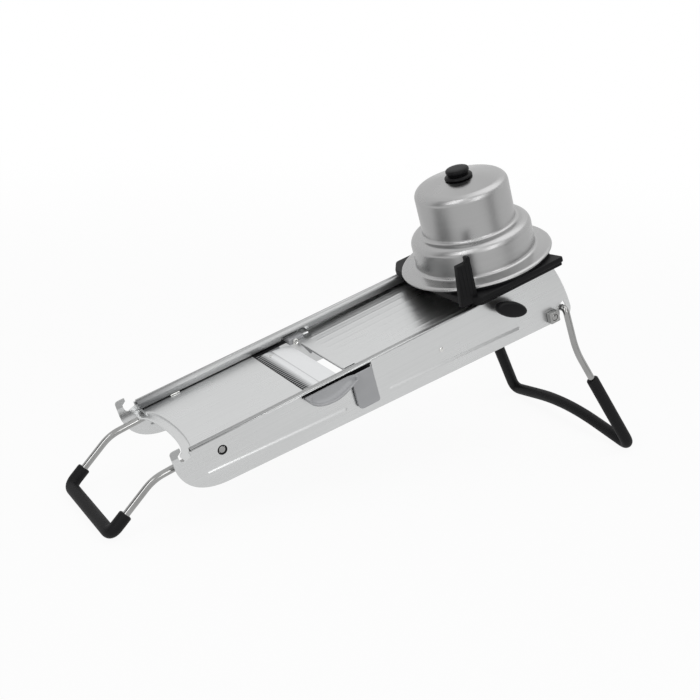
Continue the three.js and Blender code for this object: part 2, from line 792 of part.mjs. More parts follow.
function handleCorners() {
  const near = [
    { at: point(pivotU, -half + fit, pivotN) },
    { at: point(pivotU, -handleHalf, pivotN), round: pivotCorner },
    { at: point(handleBendU, -handleHalf, handleBendN), round: handleBend },
    { at: point(gripU, -handleHalf, gripN), round: handleCorner },
  ];
  return near.concat(mirrored(near));
}

// The same corners on the far side, in return order
function mirrored(corners) {
  return corners.map(({ at, round }) => ({ at: point(at.x, -at.y, at.z), round })).reverse();
}

// The corners of a sleeve: it starts part of the way down the last straight run
function sleeveCorners(corners, startShare) {
  const count = corners.length / 2;
  const corner = corners[count - 1];
  const start = corners[count - 2].at.clone().lerp(corner.at, startShare);
  const near = [{ at: start }, corner];
  return near.concat(mirrored(near));
}

const handleWire = new BentWire(handleCorners());
addPiece('front_handle_wire', swept(handleWire, wireRadius), polishedWire);
const handleSleeveWire = new BentWire(sleeveCorners(handleCorners(), sleeveStartShare));
addPiece('front_handle_sleeve', swept(handleSleeveWire, sleeveRadius, sleeveBore), blackRubber);

// The rear leg: a wider bent wire that turns on the axle and splays out to two feet
const footHalf = 88.8;
const legCorner = 11;
const legKneeU = 367.5;
const legKneeN = -82;
const legKneeReach = 8.5;
const legTopU = 368;
const legTopN = -41;
const legTopReach = 4;
const legRise = 8;
const legSleeveShare = 0.29;
const eyeRadius = 8;
const eyeWidth = 6;
const eyeV = wallInner - fit - eyeWidth;
const legBend = 12;
const legTurn = 4.4;

function legCorners() {
  const near = [
    { at: point(axleU + eyeRadius - fit, -eyeV - eyeWidth / 2, legTopN) },
    { at: point(legTopU, -eyeV - eyeWidth / 2, legTopN), round: legTurn },
    { at: point(legTopU, -half - legTopReach, legTopN), round: legTurn },
    { at: point(legKneeU, -half - legKneeReach, legKneeN), round: legBend },
    { at: point(footU, -footHalf, footN), round: legCorner },
  ];
  const middle = [{ at: point(footU, 0, footN + 2 * legRise), round: footHalf / 2, steps: 8 }];
  return near.concat(middle, mirrored(near));
}

function legSleeveCorners() {
  const corners = legCorners();
  const near = corners.slice(3, 5);
  const start = near[0].at.clone().lerp(near[1].at, legSleeveShare);
  const from = [{ at: start }, near[1]];
  return from.concat([corners[5]], mirrored(from));
}

const legBentWire = new BentWire(legCorners());

function legWire() {
  let wire = solidOf(swept(legBentWire, wireRadius));
  for (const side of [-1, 1]) {
    wire = wire.add(crossBar(axleU, axleN, eyeRadius, side * eyeV, side * (eyeV + eyeWidth)));
  }
  return wire.subtract(crossBore(axleU, axleN, axleRadius, -half, half));
}

addPiece('rear_leg_wire', legWire(), polishedWire);
addPiece('rear_leg_sleeve', swept(new BentWire(legSleeveCorners()), sleeveRadius, sleeveBore), blackRubber);

// The axle of the rear leg, with a square nut outside each wall
const nutSize = 10;
const nutThickness = 5.5;

function squareNut(side) {
  const from = side * (half + fit);
  const to = from + side * nutThickness;
  const reach = nutSize / 2;
  const nut = block(axleU - reach, axleU + reach, from, to, axleN - reach, axleN + reach);
  return nut.subtract(crossBore(axleU, axleN, axleRadius, from, to));
}

const axleHalf = half + nutThickness;
addPiece('leg_axle', crossBar(axleU, axleN, axleRadius, -axleHalf, axleHalf), polishedWire);
addPiece('leg_nut_near', squareNut(-1), polishedWire);
addPiece('leg_nut_far', squareNut(1), polishedWire);

// The dome: a spun cup in two steps with a thin flange, as wide as the carriage under it
const domeSheet = 1.2;
const carriageOverhang = 6;
const flangeInset = 0.1;
const lowerShare = 0.7924;
const upperShare = 0.6126;
const flangeRadius = half + carriageOverhang - flangeInset;
const lowerRadius = flangeRadius * lowerShare;
const upperRadius = flangeRadius * upperShare;
const domeRimN = 10.5;
const stepN = 43;
const crownN = 88;
const domeHole = 6;
const rimTurn = 1.6;
const flangeRise = 4.2;
const lowerRound = 8;
const upperRound = 8;
const rootRound = 3.2;
const crownFall = 3;

// The outer profile from the hole at the crown down to the rim, moved inwards by an offset
function domeProfile(inset) {
  const edgeN = crownN - crownFall;
  const points = [[domeHole, crownN - inset]];
  points.push([upperRadius / 2, crownN - crownFall / 4 - inset]);
  arcPoints(points, upperRadius - upperRound, edgeN - upperRound, upperRound - inset, 78, 0, 4);
  const rootUpper = upperRadius + rootRound;
  arcPoints(points, rootUpper, stepN + rootRound, rootRound + inset, 180, 270, 2);
  arcPoints(points, lowerRadius - lowerRound, stepN - lowerRound, lowerRound - inset, 90, 0, 4);
  const flangeTopN = domeRimN + flangeRise;
  const rootLower = lowerRadius + rootRound;
  arcPoints(points, rootLower, flangeTopN + rootRound, rootRound + inset, 180, 262, 2);
  return points;
}

// Adds the points of an arc to a profile
function arcPoints(points, radius, n, size, fromDegrees, toDegrees, steps) {
  for (let i = 0; i <= steps; i += 1) {
    const angle = THREE.MathUtils.degToRad(fromDegrees + ((toDegrees - fromDegrees) * i) / steps);
    points.push([radius + size * Math.cos(angle), n + size * Math.sin(angle)]);
  }
}

function dome() {
  const outer = domeProfile(0);
  const inner = domeProfile(domeSheet);
  outer.push([flangeRadius - rimTurn, domeRimN + domeSheet + rimTurn]);
  outer.push([flangeRadius, domeRimN + domeSheet]);
  outer.push([flangeRadius, domeRimN]);
  outer.push([flangeRadius - rimTurn, domeRimN]);
  inner.push([flangeRadius - 2 * rimTurn, domeRimN + rimTurn]);
  const profile = outer.concat(inner.reverse());
  profile.push(profile[0]);
  return turned(profile.reverse(), domeU, 36);
}

addPiece('dome_shell', dome(), spunSteel);

// The carriage: a moulded frame that slides on the rails and carries the dome
const carriageTop = 8.5;
const carriageShare = 0.8187;
const carriageHalfLength = flangeRadius * carriageShare;
const carriageChamferU = 11;
const carriageChamferV = 16;
const carriageStepN = 3.6;
const carriageStepIn = 1.4;
const runnerWidth = 3;
const runnerDrop = 4;
const runnerOuter = half - railWidth - running;
const openingEdge = 1;
const foodOpening = runnerOuter - runnerWidth - openingEdge;
const seatLedge = 2;
const seatRingInner = foodOpening + seatLedge;
const seatRingOuter = flangeRadius - rimTurn / 2;
const postWidth = 6;
const postTop = 45;
const postLowTop = 40.5;
const postLength = 17.2;
const postShare = 0.6374;
const postLean = 4;
const postFinShare = 0.42;

function carriagePlan(inset) {
  const lowU = domeU - carriageHalfLength + inset;
  const highU = domeU + carriageHalfLength - inset;
  const edge = half + carriageOverhang - inset;
  const shape = new THREE.Shape();
  shape.moveTo(lowU + carriageChamferU, -edge);
  shape.lineTo(highU - carriageChamferU, -edge);
  shape.lineTo(highU, -edge + carriageChamferV);
  shape.lineTo(highU, edge - carriageChamferV);
  shape.lineTo(highU - carriageChamferU, edge);
  shape.lineTo(lowU + carriageChamferU, edge);
  shape.lineTo(lowU, edge - carriageChamferV);
  shape.lineTo(lowU, -edge + carriageChamferV);
  return shape;
}

// A guide post in two steps, drawn for the near front and turned half round for the far rear
function guidePost() {
  const baseHighU = domeU - flangeRadius * postShare;
  const baseLowU = baseHighU - postLength;
  const stepU = baseHighU - (baseHighU - baseLowU) * postFinShare;
  const shape = new THREE.Shape();
  shape.moveTo(baseLowU, carriageStepN);
  shape.lineTo(baseHighU, carriageStepN);
  shape.lineTo(baseHighU + fit, postTop);
  shape.lineTo(stepU + postLean, postTop);
  shape.lineTo(stepU + postLean, postLowTop);
  shape.lineTo(baseLowU + postLean, postLowTop);
  const from = -half + fit;
  return sidePlate(shape, from, from + postWidth);
}

function carriage() {
  let frame = planPlate(carriagePlan(0), carriageStepN, carriageTop);
  frame = frame.add(planPlate(carriagePlan(carriageStepIn), fit, carriageStepN + fit));
  const ringProfile = [
    [seatRingInner, carriageTop - fit],
    [seatRingOuter, carriageTop - fit],
    [seatRingOuter, domeRimN - fit],
    [seatRingInner, domeRimN - fit],
    [seatRingInner, carriageTop - fit],
  ];
  const ring = solidOf(turned(ringProfile, domeU, 48));
  frame = frame.add(ring.intersect(planPlate(carriagePlan(0), 0, domeRimN)));
  const runnerReach = carriageHalfLength - carriageChamferU;
  const runnerLowU = domeU - runnerReach;
  const runnerHighU = domeU + runnerReach;
  for (const side of [-1, 1]) {
    const outer = side * runnerOuter;
    const inner = outer - side * runnerWidth;
    frame = frame.add(block(runnerLowU, runnerHighU, inner, outer, -runnerDrop, carriageStepN));
  }
  const post = guidePost();
  frame = frame.add(post);
  const turnedPost = post.translate([-domeU, 0, 0]).rotate([0, 0, 180]).translate([domeU, 0, 0]);
  frame = frame.add(turnedPost);
  return frame.subtract(upright(domeU, 0, foodOpening, -bodyWidth, bodyWidth, 48));
}

addPiece('carriage_frame', carriage(), blackPlastic);

// The collar in the dome's crown, which guides the plunger's shaft
const plungerRadius = 4;
const collarRadius = 12.4;
const collarRise = 2.6;

function collar() {
  const bore = plungerRadius + fit;
  const stem = domeHole - fit;
  const seat = crownN + fit;
  const profile = [
    [bore, crownN - domeSheet - collarRise],
    [stem, crownN - domeSheet - collarRise],
    [stem, seat],
    [collarRadius, seat],
    [collarRadius, seat + collarRise / 2],
    [collarRadius - collarRise / 2, seat + collarRise],
    [bore, seat + collarRise],
    [bore, crownN - domeSheet - collarRise],
  ];
  return turned(profile, domeU);
}

// The plunger: a knob, a shaft, a plate with prongs and the nut that holds it
const plateGap = 3.9;
const plateRadius = upperRadius - plateGap;
const plateSheet = 3;
const plateN = 16;
const prongInset = 11;
const prongRing = plateRadius - prongInset;
const prongCount = 10;
const prongRadius = 1.4;
const prongLength = 9;
const plungerKnobRadius = 10.4;
const plungerKnobHeight = 5.4;
const plungerKnobNeck = 1.2;
const nutRadius = 8;
const nutHeight = 4;

function prongPlate() {
  let plate = upright(domeU, 0, plateRadius, plateN, plateN + plateSheet, 32);
  for (let i = 0; i < prongCount; i += 1) {
    const angle = (i / prongCount) * 2 * Math.PI;
    const cone = new THREE.CylinderGeometry(prongRadius, prongRadius / 4, prongLength, 8);
    cone.rotateX(Math.PI / 2);
    const v = prongRing * Math.sin(angle);
    cone.translate(domeU + prongRing * Math.cos(angle), v, plateN + fit - prongLength / 2);
    plate = plate.add(solidOf(cone));
  }
  return plate.subtract(upright(domeU, 0, plungerRadius + fit, -half, half));
}

const collarTop = crownN + fit + collarRise;
const knobBottom = collarTop + fit;
const knobTop = knobBottom + plungerKnobHeight;

function plungerKnob() {
  const bore = plungerRadius + fit;
  const roof = knobTop - plungerKnobHeight / 3;
  const profile = [
    [bore, knobBottom],
    [plungerKnobRadius - plungerKnobNeck, knobBottom],
    [plungerKnobRadius - plungerKnobNeck, knobBottom + plungerKnobNeck],
    [plungerKnobRadius, knobBottom + 2 * plungerKnobNeck],
    [plungerKnobRadius, knobTop - plungerKnobNeck],
    [plungerKnobRadius - plungerKnobNeck, knobTop],
    [0, knobTop + fit],
    [0, roof],
    [bore, roof],
    [bore, knobBottom],
  ];
  return turned(profile, domeU);
}

function plateNut() {
  const nut = upright(domeU, 0, nutRadius, plateN - fit - nutHeight, plateN - fit, 6);
  return nut.subtract(upright(domeU, 0, plungerRadius + fit, -half, half));
}

addPiece('dome_collar', collar(), blackPlastic);
addPiece('plunger_knob', plungerKnob(), blackPlastic);
const shaftTopN = knobTop - plungerKnobHeight / 3 - fit;
const plunger = upright(domeU, 0, plungerRadius, plateN - fit - nutHeight, shaftTopN);
addPiece('plunger_shaft', plunger, polishedWire);
addPiece('prong_plate', prongPlate(), brushedSteel);
addPiece('prong_plate_nut', plateNut(), polishedWire);

// The tilt at which the grip and the feet touch the ground together
const lowestAt = (wire, angle) => wire.stations.reduce((low, next) => {
  const height = (at) => at.x * Math.sin(angle) + at.z * Math.cos(angle);
  return height(next) < height(low) ? next : low;
});
let tilt = 0;
for (let round = 0; round < 5; round += 1) {
  const grip = lowestAt(handleWire, tilt);
  const foot = lowestAt(legBentWire, tilt);
  tilt = Math.atan2(grip.z - foot.z, foot.x - grip.x);
}
bed.rotation.y = -tilt;

// Sets the slicer on the ground, with its middle over the origin
const extent = new THREE.Box3().setFromObject(slicer, true);
const middle = extent.getCenter(new THREE.Vector3());
slicer.position.set(-middle.x, -middle.y, -extent.min.z);
slicer.updateMatrixWorld(true);

export default slicer;
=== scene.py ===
"""A stainless steel mandoline slicer with a black carriage, on wire supports.

The pieces are made in the order in which the real one is put together. Their sizes are in
millimetres in the bed's own directions: u up the bed, v across it and n square to it.
"""

import json
from math import atan2, cos, degrees, pi, radians, sin, sqrt

import bmesh
import bpy
from mathutils import Matrix, Vector


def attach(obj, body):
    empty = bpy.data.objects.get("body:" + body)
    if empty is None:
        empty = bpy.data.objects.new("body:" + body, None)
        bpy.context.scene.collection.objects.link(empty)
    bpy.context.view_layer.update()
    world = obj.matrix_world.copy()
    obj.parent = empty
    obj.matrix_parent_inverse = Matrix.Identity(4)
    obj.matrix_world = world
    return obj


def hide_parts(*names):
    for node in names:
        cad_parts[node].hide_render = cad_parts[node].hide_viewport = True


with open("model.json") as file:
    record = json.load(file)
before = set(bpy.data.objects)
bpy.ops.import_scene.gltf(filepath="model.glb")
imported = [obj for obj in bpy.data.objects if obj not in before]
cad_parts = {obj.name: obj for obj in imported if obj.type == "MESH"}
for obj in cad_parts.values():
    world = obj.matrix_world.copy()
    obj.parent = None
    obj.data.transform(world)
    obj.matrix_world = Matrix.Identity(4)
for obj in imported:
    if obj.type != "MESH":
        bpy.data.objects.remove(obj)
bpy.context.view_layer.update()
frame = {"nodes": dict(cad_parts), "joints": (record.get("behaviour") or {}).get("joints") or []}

# The bed's directions and its zero point come from the joints of the CAD model: the carriage
# slides down the bed, and the front handle's pivot stands at a known place on it.
MM = 0.001
PIVOT_U, PIVOT_N = 31.3, -12.3
joints = {joint["name"]: joint for joint in frame["joints"]}
up_bed = -Vector(joints["carriage_slide"]["axis"]).normalized()
across_bed = Vector((0, 1, 0))
square_to_bed = up_bed.cross(across_bed)
pivot = Vector(joints["front_handle_fold"]["pos_m"])
bed_place = Matrix((up_bed, across_bed, square_to_bed)).transposed().to_4x4()
bed_place.translation = pivot - MM * (PIVOT_U * up_bed + PIVOT_N * square_to_bed)


# The side walls are two pressed sheets of brushed stainless steel, cut, beaded and folded over
# at the top into rails. The near one has the slot that the blade block slides out of.
SIDES = ((-1, "near"), (1, "far"))
HALF_WIDTH = 62.5
WALL_SHEET = 1.5
RAIL_TOP_WIDTH = 4.5
RAIL_BEND = 1.5
RAIL_LOW_U, RAIL_HIGH_U = 8, 366
WALL_END_U = 376.5
WALL_NOSE_N = -42
WALL_HEEL = (371, -51.2)
WALL_BELLY = (32.5, -40)
HOOK_OUTER_U, HOOK_TIP_U, HOOK_TOP_N = -9.5, -0.5, 5.5
AXLE = (354.5, -43)
NOTCH_INNER, NOTCH_OUTER = 9.5, 17.5
NOTCH_START = 30
BEADS = (((15, -26.34), (140, -32.26)), ((186, -33.84), (318, -40.09)))
BEAD_RADIUS = 3.5
BEAD_RISE = 0.7
BEAD_INSETS = (0, 0.35, 0.8, 1.3, 1.8, 2.3, 2.8, 3.2, 3.45)
PIVOT_HOLE = 4.2
SLOT = ((107, -4), (116.4, -4), (116.4, -13.4), (160.5, -13.4), (160.5, -22.5), (173.6, -22.5),
        (173.6, -1.8), (107, -1.8))


def linear(hex_colour):
    """An sRGB hex colour as the linear colour that a shader takes."""
    parts = [int(hex_colour[i : i + 2], 16) / 255 for i in (1, 3, 5)]
    return [c / 12.92 if c <= 0.04045 else ((c + 0.055) / 1.055) ** 2.4 for c in parts] + [1]


def add(tree, kind, inputs=(), **settings):
    """Adds a shader node with its settings. An input is given by its name or its number, and
    takes a value, a hex colour, a socket, or a node for the first output that it uses."""
    made = tree.nodes.new("ShaderNode" + kind)
    for name, value in settings.items():
        setattr(made, name, value)
    for name, value in dict(inputs).items():
        named = (socket for socket in made.inputs if socket.enabled and socket.name == name)
        socket = made.inputs[name] if isinstance(name, int) else next(named)
        if isinstance(value, bpy.types.Node):
            value = next(output for output in value.outputs if output.enabled)
        if isinstance(value, bpy.types.NodeSocket):
            tree.links.new(value, socket)
        else:
            socket.default_value = linear(value) if isinstance(value, str) else value
    return made


def new_material(name):
    """An empty material, with its tree and the place on the piece."""
    material = bpy.data.materials.new(name)
    material.use_nodes = True
    tree = material.node_tree
    tree.nodes.clear()
    return material, tree, add(tree, "TexCoord").outputs["Object"]


def finish(tree, colour, wear, rough, height, relief, shader):
    """Ends a material: wear sets the roughness, and height a relief of some strength and depth."""
    roughness = add(tree, "MapRange", {"Value": wear, "To Min": rough[0], "To Max": rough[1]})
    bumps = add(tree, "Bump", {"Height": height, "Strength": relief[0], "Distance": relief[1] * MM})
    shader = {"Base Color": colour, "Roughness": roughness, "Normal": bumps, **shader}
    add(tree, "OutputMaterial", {"Surface": add(tree, "BsdfPrincipled", shader)})


def strokes_along(tree, place, length, width, detail):
    """Noise drawn out along the bed into strokes of a length and a width in millimetres."""
    scale = (1 / (length * MM), 1 / (width * MM), 1 / (width * MM))
    drawn_out = add(tree, "Mapping", {"Vector": place, "Scale": scale})
    return add(tree, "TexNoise", {"Vector": drawn_out, "Scale": 1, "Detail": detail})


def bezier(points, steps, first=0):
    """Points along the curve that three or four control points give, from some share on."""
    made = []
    for k in range(steps + 1):
        t = first + (1 - first) * k / steps
        level = [Vector(p) for p in points]
        while len(level) > 1:
            level = [a.lerp(b, t) for a, b in zip(level, level[1:])]
        made.append(tuple(level[0]))
    return made


def arc(centre, radius, start, end, steps):
    """Points on an arc between two angles in degrees."""
    angles = [radians(start + (end - start) * k / steps) for k in range(steps + 1)]
    return [(centre[0] + radius * cos(a), centre[1] + radius * sin(a)) for a in angles]


def filled(loops):
    """Fills a flat outline with its holes: the points and the faces between them."""
    curve = bpy.data.curves.new("outline", "CURVE")
    curve.dimensions, curve.fill_mode = "2D", "BOTH"
    for loop in loops:
        line = curve.splines.new("POLY")
        line.points.add(len(loop) - 1)
        for point, (x, y) in zip(line.points, loop):
            point.co = (x, y, 0, 1)
        line.use_cyclic_u = True
    holder = bpy.data.objects.new("outline", curve)
    mesh = bpy.data.meshes.new_from_object(holder)
    points = [(v.co.x, v.co.y) for v in mesh.vertices]
    faces = [tuple(p.vertices) for p in mesh.polygons]
    bpy.data.objects.remove(holder)
    bpy.data.meshes.remove(mesh)
    return points, faces


class Form:
    """The points of a piece in bed millimetres and the faces between them."""

    def __init__(self):
        self.points, self.faces, self.flat = [], [], []

    def add(self, points, faces, flat=False):
        first = len(self.points)
        self.points += [tuple(p) for p in points]
        self.faces += [[first + i for i in face] for face in faces]
        self.flat += [flat] * len(faces)
        return self

    def rings(self, rings, closed=True, joined=False, capped=False):
        """Faces between rings of equal length. Joined links the last ring to the first."""
        count = len(rings[0])
        points = [p for ring in rings for p in ring]
        faces = []
        for r in range(len(rings) - (0 if joined else 1)):
            a, b = r * count, (r + 1) % len(rings) * count
            for i in range(count if closed else count - 1):
                j = (i + 1) % count
                faces.append((a + i, a + j, b + j, b + i))
        self.add(points, faces)
        if capped:
            self.add(rings[0], [range(count)], True)
            self.add(rings[-1], [range(count)], True)
        return self


def upright(points, v):
    """Stands flat points up at one v."""
    return [(x, v, y) for x, y in points]


def pill(start, end, radius, steps=10):
    """A round-ended loop between two points."""
    turn = degrees(atan2(end[1] - start[1], end[0] - start[0]))
    ends = arc(end, radius, turn - 90, turn + 90, steps)
    return ends + arc(start, radius, turn + 90, turn + 270, steps)


def put(name, data):
    """Puts a new object into the scene."""
    thing = bpy.data.objects.new(name, data)
    bpy.context.scene.collection.objects.link(thing)
    return thing


def make(name, form, material, body, crease=38, outward=None, sheet=0, even=False):
    """Makes a piece in the bed's place. What stands before a dot in its name is the CAD node that
    it replaces."""
    built = bmesh.new()
    corners = [built.verts.new(Vector(p) * MM) for p in form.points]
    for face, flat in zip(form.faces, form.flat):
        if len(set(face)) > 2:
            made = built.faces.new([corners[i] for i in face])
            made.smooth = not flat
    bmesh.ops.remove_doubles(built, verts=built.verts, dist=0.004 * MM)
    bmesh.ops.dissolve_degenerate(built, edges=built.edges, dist=0.001 * MM)
    spare = [corner for corner in built.verts if not corner.link_faces]
    bmesh.ops.delete(built, geom=spare, context="VERTS")
    bmesh.ops.recalc_face_normals(built, faces=built.faces)
    if outward is not None:
        total = sum((f.normal * f.calc_area() for f in built.faces), Vector())
        if total.dot(Vector(outward)) < 0:
            bmesh.ops.reverse_faces(built, faces=built.faces)
    mesh = bpy.data.meshes.new(name)
    built.to_mesh(mesh)
    built.free()
    smooth = [face.use_smooth for face in mesh.polygons]
    mesh.set_sharp_from_angle(angle=radians(crease))
    mesh.polygons.foreach_set("use_smooth", smooth)
    mesh.materials.append(material)
    piece = put(name, mesh)
    piece.matrix_world = bed_place
    if sheet:
        thickness = piece.modifiers.new("sheet", "SOLIDIFY")
        thickness.thickness, thickness.offset = sheet * MM, -1
        thickness.use_even_offset = True
    if even:
        evened = piece.modifiers.new("evened", "WEIGHTED_NORMAL")
        evened.keep_sharp = True
    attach(piece, body)
    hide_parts(*name.split(".")[:-1])


# Stainless sheet, cold rolled and brushed lengthwise. The eye sees a soft grey mirror with faint
# streaks. Where the sheet stands above the start of the rails' bends, on the rails and on the prong
# plate, its colour is painted darker: painted shade that tones down the rails' highlight. The real
# strokes are 0.1 mm wide, and are drawn 0.9 mm wide and 90 mm long so that they show.
STROKE_LENGTH, STROKE_WIDTH = 90, 0.9
RUBBED_FROM_N, RUBBED_N = -1.5, -0.9
brushed_stainless, tree, place = new_material("brushed_stainless_sheet")
strokes = strokes_along(tree, place, STROKE_LENGTH, STROKE_WIDTH, 3)
clouds = add(tree, "TexNoise", {"Vector": place, "Scale": 22, "Detail": 2})
mixed = add(tree, "Math", {0: strokes, 1: clouds}, operation="ADD")
wear = add(tree, "MapRange", {"Value": mixed, "From Min": 0.6, "From Max": 1.4})
tone = add(tree, "Mix", {"Factor": strokes, "A": "#C6C7C7", "B": "#D3D4D4"}, data_type="RGBA")
level = add(tree, "SeparateXYZ", {"Vector": place}).outputs["Z"]
# Painted shade: above the start of the rails' bends the colour is darker.
rubbed = add(tree, "MapRange", {"Value": level, "From Min": RUBBED_FROM_N * MM, "From Max": RUBBED_N * MM})
tone = add(tree, "Mix", {"Factor": rubbed, "A": tone, "B": "#A9AAAA"}, data_type="RGBA")
finish(tree, tone, wear, (0.24, 0.36), strokes, (0.12, 0.05), {"Metallic": 1})


def wall_outline():
    """The wall's outline up to the start of the rail's bend, from the rail's low end. The notch
    in its lower edge goes round the leg's wire."""
    top = -RAIL_BEND
    loop = [(RAIL_LOW_U, top), (RAIL_HIGH_U, top)]
    nose = [(RAIL_HIGH_U, 0), (WALL_END_U - 2, WALL_NOSE_N / 2), (WALL_END_U, WALL_NOSE_N)]
    loop += bezier(nose, 14, first=top / WALL_NOSE_N)
    loop += bezier([(WALL_END_U, WALL_NOSE_N), (WALL_END_U, WALL_HEEL[1] + 2), WALL_HEEL], 8)[1:-1]
    loop += [WALL_HEEL] + arc(AXLE, NOTCH_OUTER, -27.6, NOTCH_START, 14)
    loop += arc(AXLE, NOTCH_INNER, NOTCH_START, -54, 14)
    belly = [WALL_BELLY, (-3.34, WALL_BELLY[1]), (HOOK_OUTER_U, -19.25), (HOOK_OUTER_U, -7)]
    loop += bezier(belly, 22)
    loop += bezier([(HOOK_OUTER_U, 2), (HOOK_OUTER_U, HOOK_TOP_N), (-6, HOOK_TOP_N)], 6)
    loop += [(HOOK_TIP_U, HOOK_TOP_N), (HOOK_TIP_U, 2.9), (-3.9, 0.3)]
    loop += bezier([(-3.9, 0.3), (-3.9, -7), (-0.4, -7)], 8)[1:]
    return loop + [(6, -5), (6, top)]


def side_wall(side):
    """A wall's outer skin with its pressed beads and its folded rail. Side is -1 for near."""
    v = side * HALF_WIDTH
    holes = [arc((PIVOT_U, PIVOT_N), PIVOT_HOLE, 0, 351, 39)]
    holes += [SLOT] if side < 0 else []
    loops = [wall_outline()] + holes + [pill(a, b, BEAD_RADIUS) for a, b in BEADS]
    points, faces = filled(loops)
    form = Form().add(upright(points, v), faces, flat=True)
    rim = BEAD_INSETS[1]
    for a, b in BEADS:
        rings = []
        for inset in BEAD_INSETS:
            share = max(0, (inset - rim) / (BEAD_RADIUS - rim))
            rise = BEAD_RISE * (1 - cos(pi * share)) / 2
            rings.append(upright(pill(a, b, BEAD_RADIUS - inset), v + side * rise))
        form.rings(rings)
        form.add(rings[-1], [range(len(rings[-1]))])
    bend = arc((0, 0), RAIL_BEND, 0, 90, 6)
    section = [(v - side * RAIL_BEND + side * c, s - RAIL_BEND) for c, s in bend]
    section += [(v - side * RAIL_TOP_WIDTH, 0)]
    form.rings([[(u, *p) for p in section] for u in (RAIL_LOW_U, RAIL_HIGH_U)], closed=False)
    return form


for side, name in SIDES:
    make(name + "_side_wall.pressed", side_wall(side), brushed_stainless, "frame", outward=(0, side, 0),
         sheet=WALL_SHEET)

# The rail's inner side is rolled over and down to the bed, and the far one is cut short where
# the ramp's bracket passes it. This side of the sheet was never brushed.
FOLD_CENTRE, FOLD_RADIUS = (58, -3.5), 3.5
FOLD_LOW_N, FOLD_SHORT_N = -7.5, -4.2
FOLD_SHEET = 1
FOLD_ENDS = ((8, FOLD_LOW_N), (366, FOLD_LOW_N))
FOLD_GAP = ((147.5, FOLD_LOW_N), (149, FOLD_SHORT_N), (176, FOLD_SHORT_N), (177.5, FOLD_LOW_N))

# Stainless sheet as it left the rolling mill, dull from the pickling bath. The eye sees a mid
# grey with painted shade: darker towards the bed and towards the low end, and a painted black
# shadow line at the bed's edge. The pickled grain is 0.1 mm, and is drawn 0.6 mm so that it shows.
PICKLED_GRAIN = 0.6
SHADE_N, SHADE_U, GRIME_N = (-0.5, -7), (60, 8), (-6.9, -7.3)
mill_stainless, tree, place = new_material("pickled_mill_stainless")
parts = add(tree, "SeparateXYZ", {"Vector": place})
u, n = parts.outputs["X"], parts.outputs["Z"]
# Painted shade: the fold darkens towards the bed and towards the low end.
depth = {"Value": n, "From Min": SHADE_N[0] * MM, "From Max": SHADE_N[1] * MM, "To Min": 0.1, "To Max": 0.6}
depth = add(tree, "MapRange", depth)
start = add(tree, "MapRange", {"Value": u, "From Min": SHADE_U[0] * MM, "From Max": SHADE_U[1] * MM})
shade = add(tree, "Math", {0: start, 1: 0.7, 2: depth}, operation="MULTIPLY_ADD", use_clamp=True)
grain = add(tree, "TexNoise", {"Vector": place, "Scale": 1 / (PICKLED_GRAIN * MM), "Detail": 3})
tone = add(tree, "Mix", {"Factor": shade, "A": "#B2B3B3", "B": "#606162"}, data_type="RGBA")
# Painted shadow: a black line where the fold meets the bed.
grime = add(tree, "MapRange", {"Value": n, "From Min": GRIME_N[0] * MM, "From Max": GRIME_N[1] * MM})
tone = add(tree, "Mix", {"Factor": grime, "A": tone, "B": "#1A1A1B"}, data_type="RGBA")
finish(tree, tone, grain, (0.34, 0.46), grain, (0.12, 0.03), {"Metallic": 1})


def rail_fold(side):
    """The upright fold under one rail."""
    shown = arc(FOLD_CENTRE, FOLD_RADIUS, 90, 180, 8)
    hidden = arc(FOLD_CENTRE, FOLD_RADIUS - FOLD_SHEET, 180, 90, 8)
    face, back = shown[-1][0], hidden[0][0]
    rings = []
    for u, low in FOLD_ENDS[:1] + (FOLD_GAP if side > 0 else ()) + FOLD_ENDS[1:]:
        section = shown + [(face, low + 0.3), (face + 0.3, low), (back, low)] + hidden
        rings.append([(u, side * v, n) for v, n in section])
    return Form().rings(rings, capped=True)


for side, name in SIDES:
    make("rail_fold_" + name, rail_fold(side), mill_stainless, "frame")

# The small rivets in the walls and the stop pin under the thickness knob are turned from
# stainless bar and set by pressing, so their heads are low domes with a fine bright edge.
RIVET = (240, -22.3)
STOP_PIN = (319, -27)
RIVET_HEAD, PIN_HEAD = (2.3, 0.85), (1.5, 1.2)

# Stainless bar turned on a lathe and left as cut. The eye sees a small bright mirror with
# rings. The real feed marks are 0.1 mm apart, and are drawn 0.4 mm apart so that they show.
FEED_MARK = 0.4
turned_stainless, tree, place = new_material("turned_stainless_bar")
rings = add(tree, "TexWave", {
    "Vector": place, "Scale": 0.314 / (FEED_MARK * MM), "Distortion": 1.5, "Detail": 2,
}, wave_type="RINGS").outputs["Fac"]
finish(tree, "#D2D2D0", rings, (0.16, 0.28), rings, (0.1, 0.02), {"Metallic": 1})


def circle(radius, sides):
    """Points of a circle about zero."""
    return [(radius * cos(2 * pi * i / sides), radius * sin(2 * pi * i / sides))
            for i in range(sides)]


def turned(form, profile, centre, axis="n", sides=48):
    """Turns a profile of radius and place about an axis that runs across or square to the bed.
    One that keeps off the axis is joined up into a ring."""
    rings = []
    for radius, place in profile:
        flat = [(centre[0] + x, centre[1] + y) for x, y in circle(max(radius, 0.0001), sides)]
        rings.append([(x, y, place) if axis == "n" else (x, place, y) for x, y in flat])
    return form.rings(rings, joined=profile[0][0] > 0)


def domed_head(centre, radius, rise, side):
    """A low domed head on a short stem in a wall."""
    face, root = side * HALF_WIDTH, side * (HALF_WIDTH - WALL_SHEET)
    dome = [(radius * cos(a), face + side * rise * (0.35 + 0.65 * sin(a)))
            for a in (radians(9 * k) for k in range(11))]
    return turned(Form(), [(0, root), (radius, root), (radius, face)] + dome, centre, axis="v")


for side, name in SIDES:
    make(f"wall_rivet_{name}.set", domed_head(RIVET, *RIVET_HEAD, side), turned_stainless, "frame")
make("knob_stop_pin.set", domed_head(STOP_PIN, *PIN_HEAD, -1), turned_stainless, "frame")

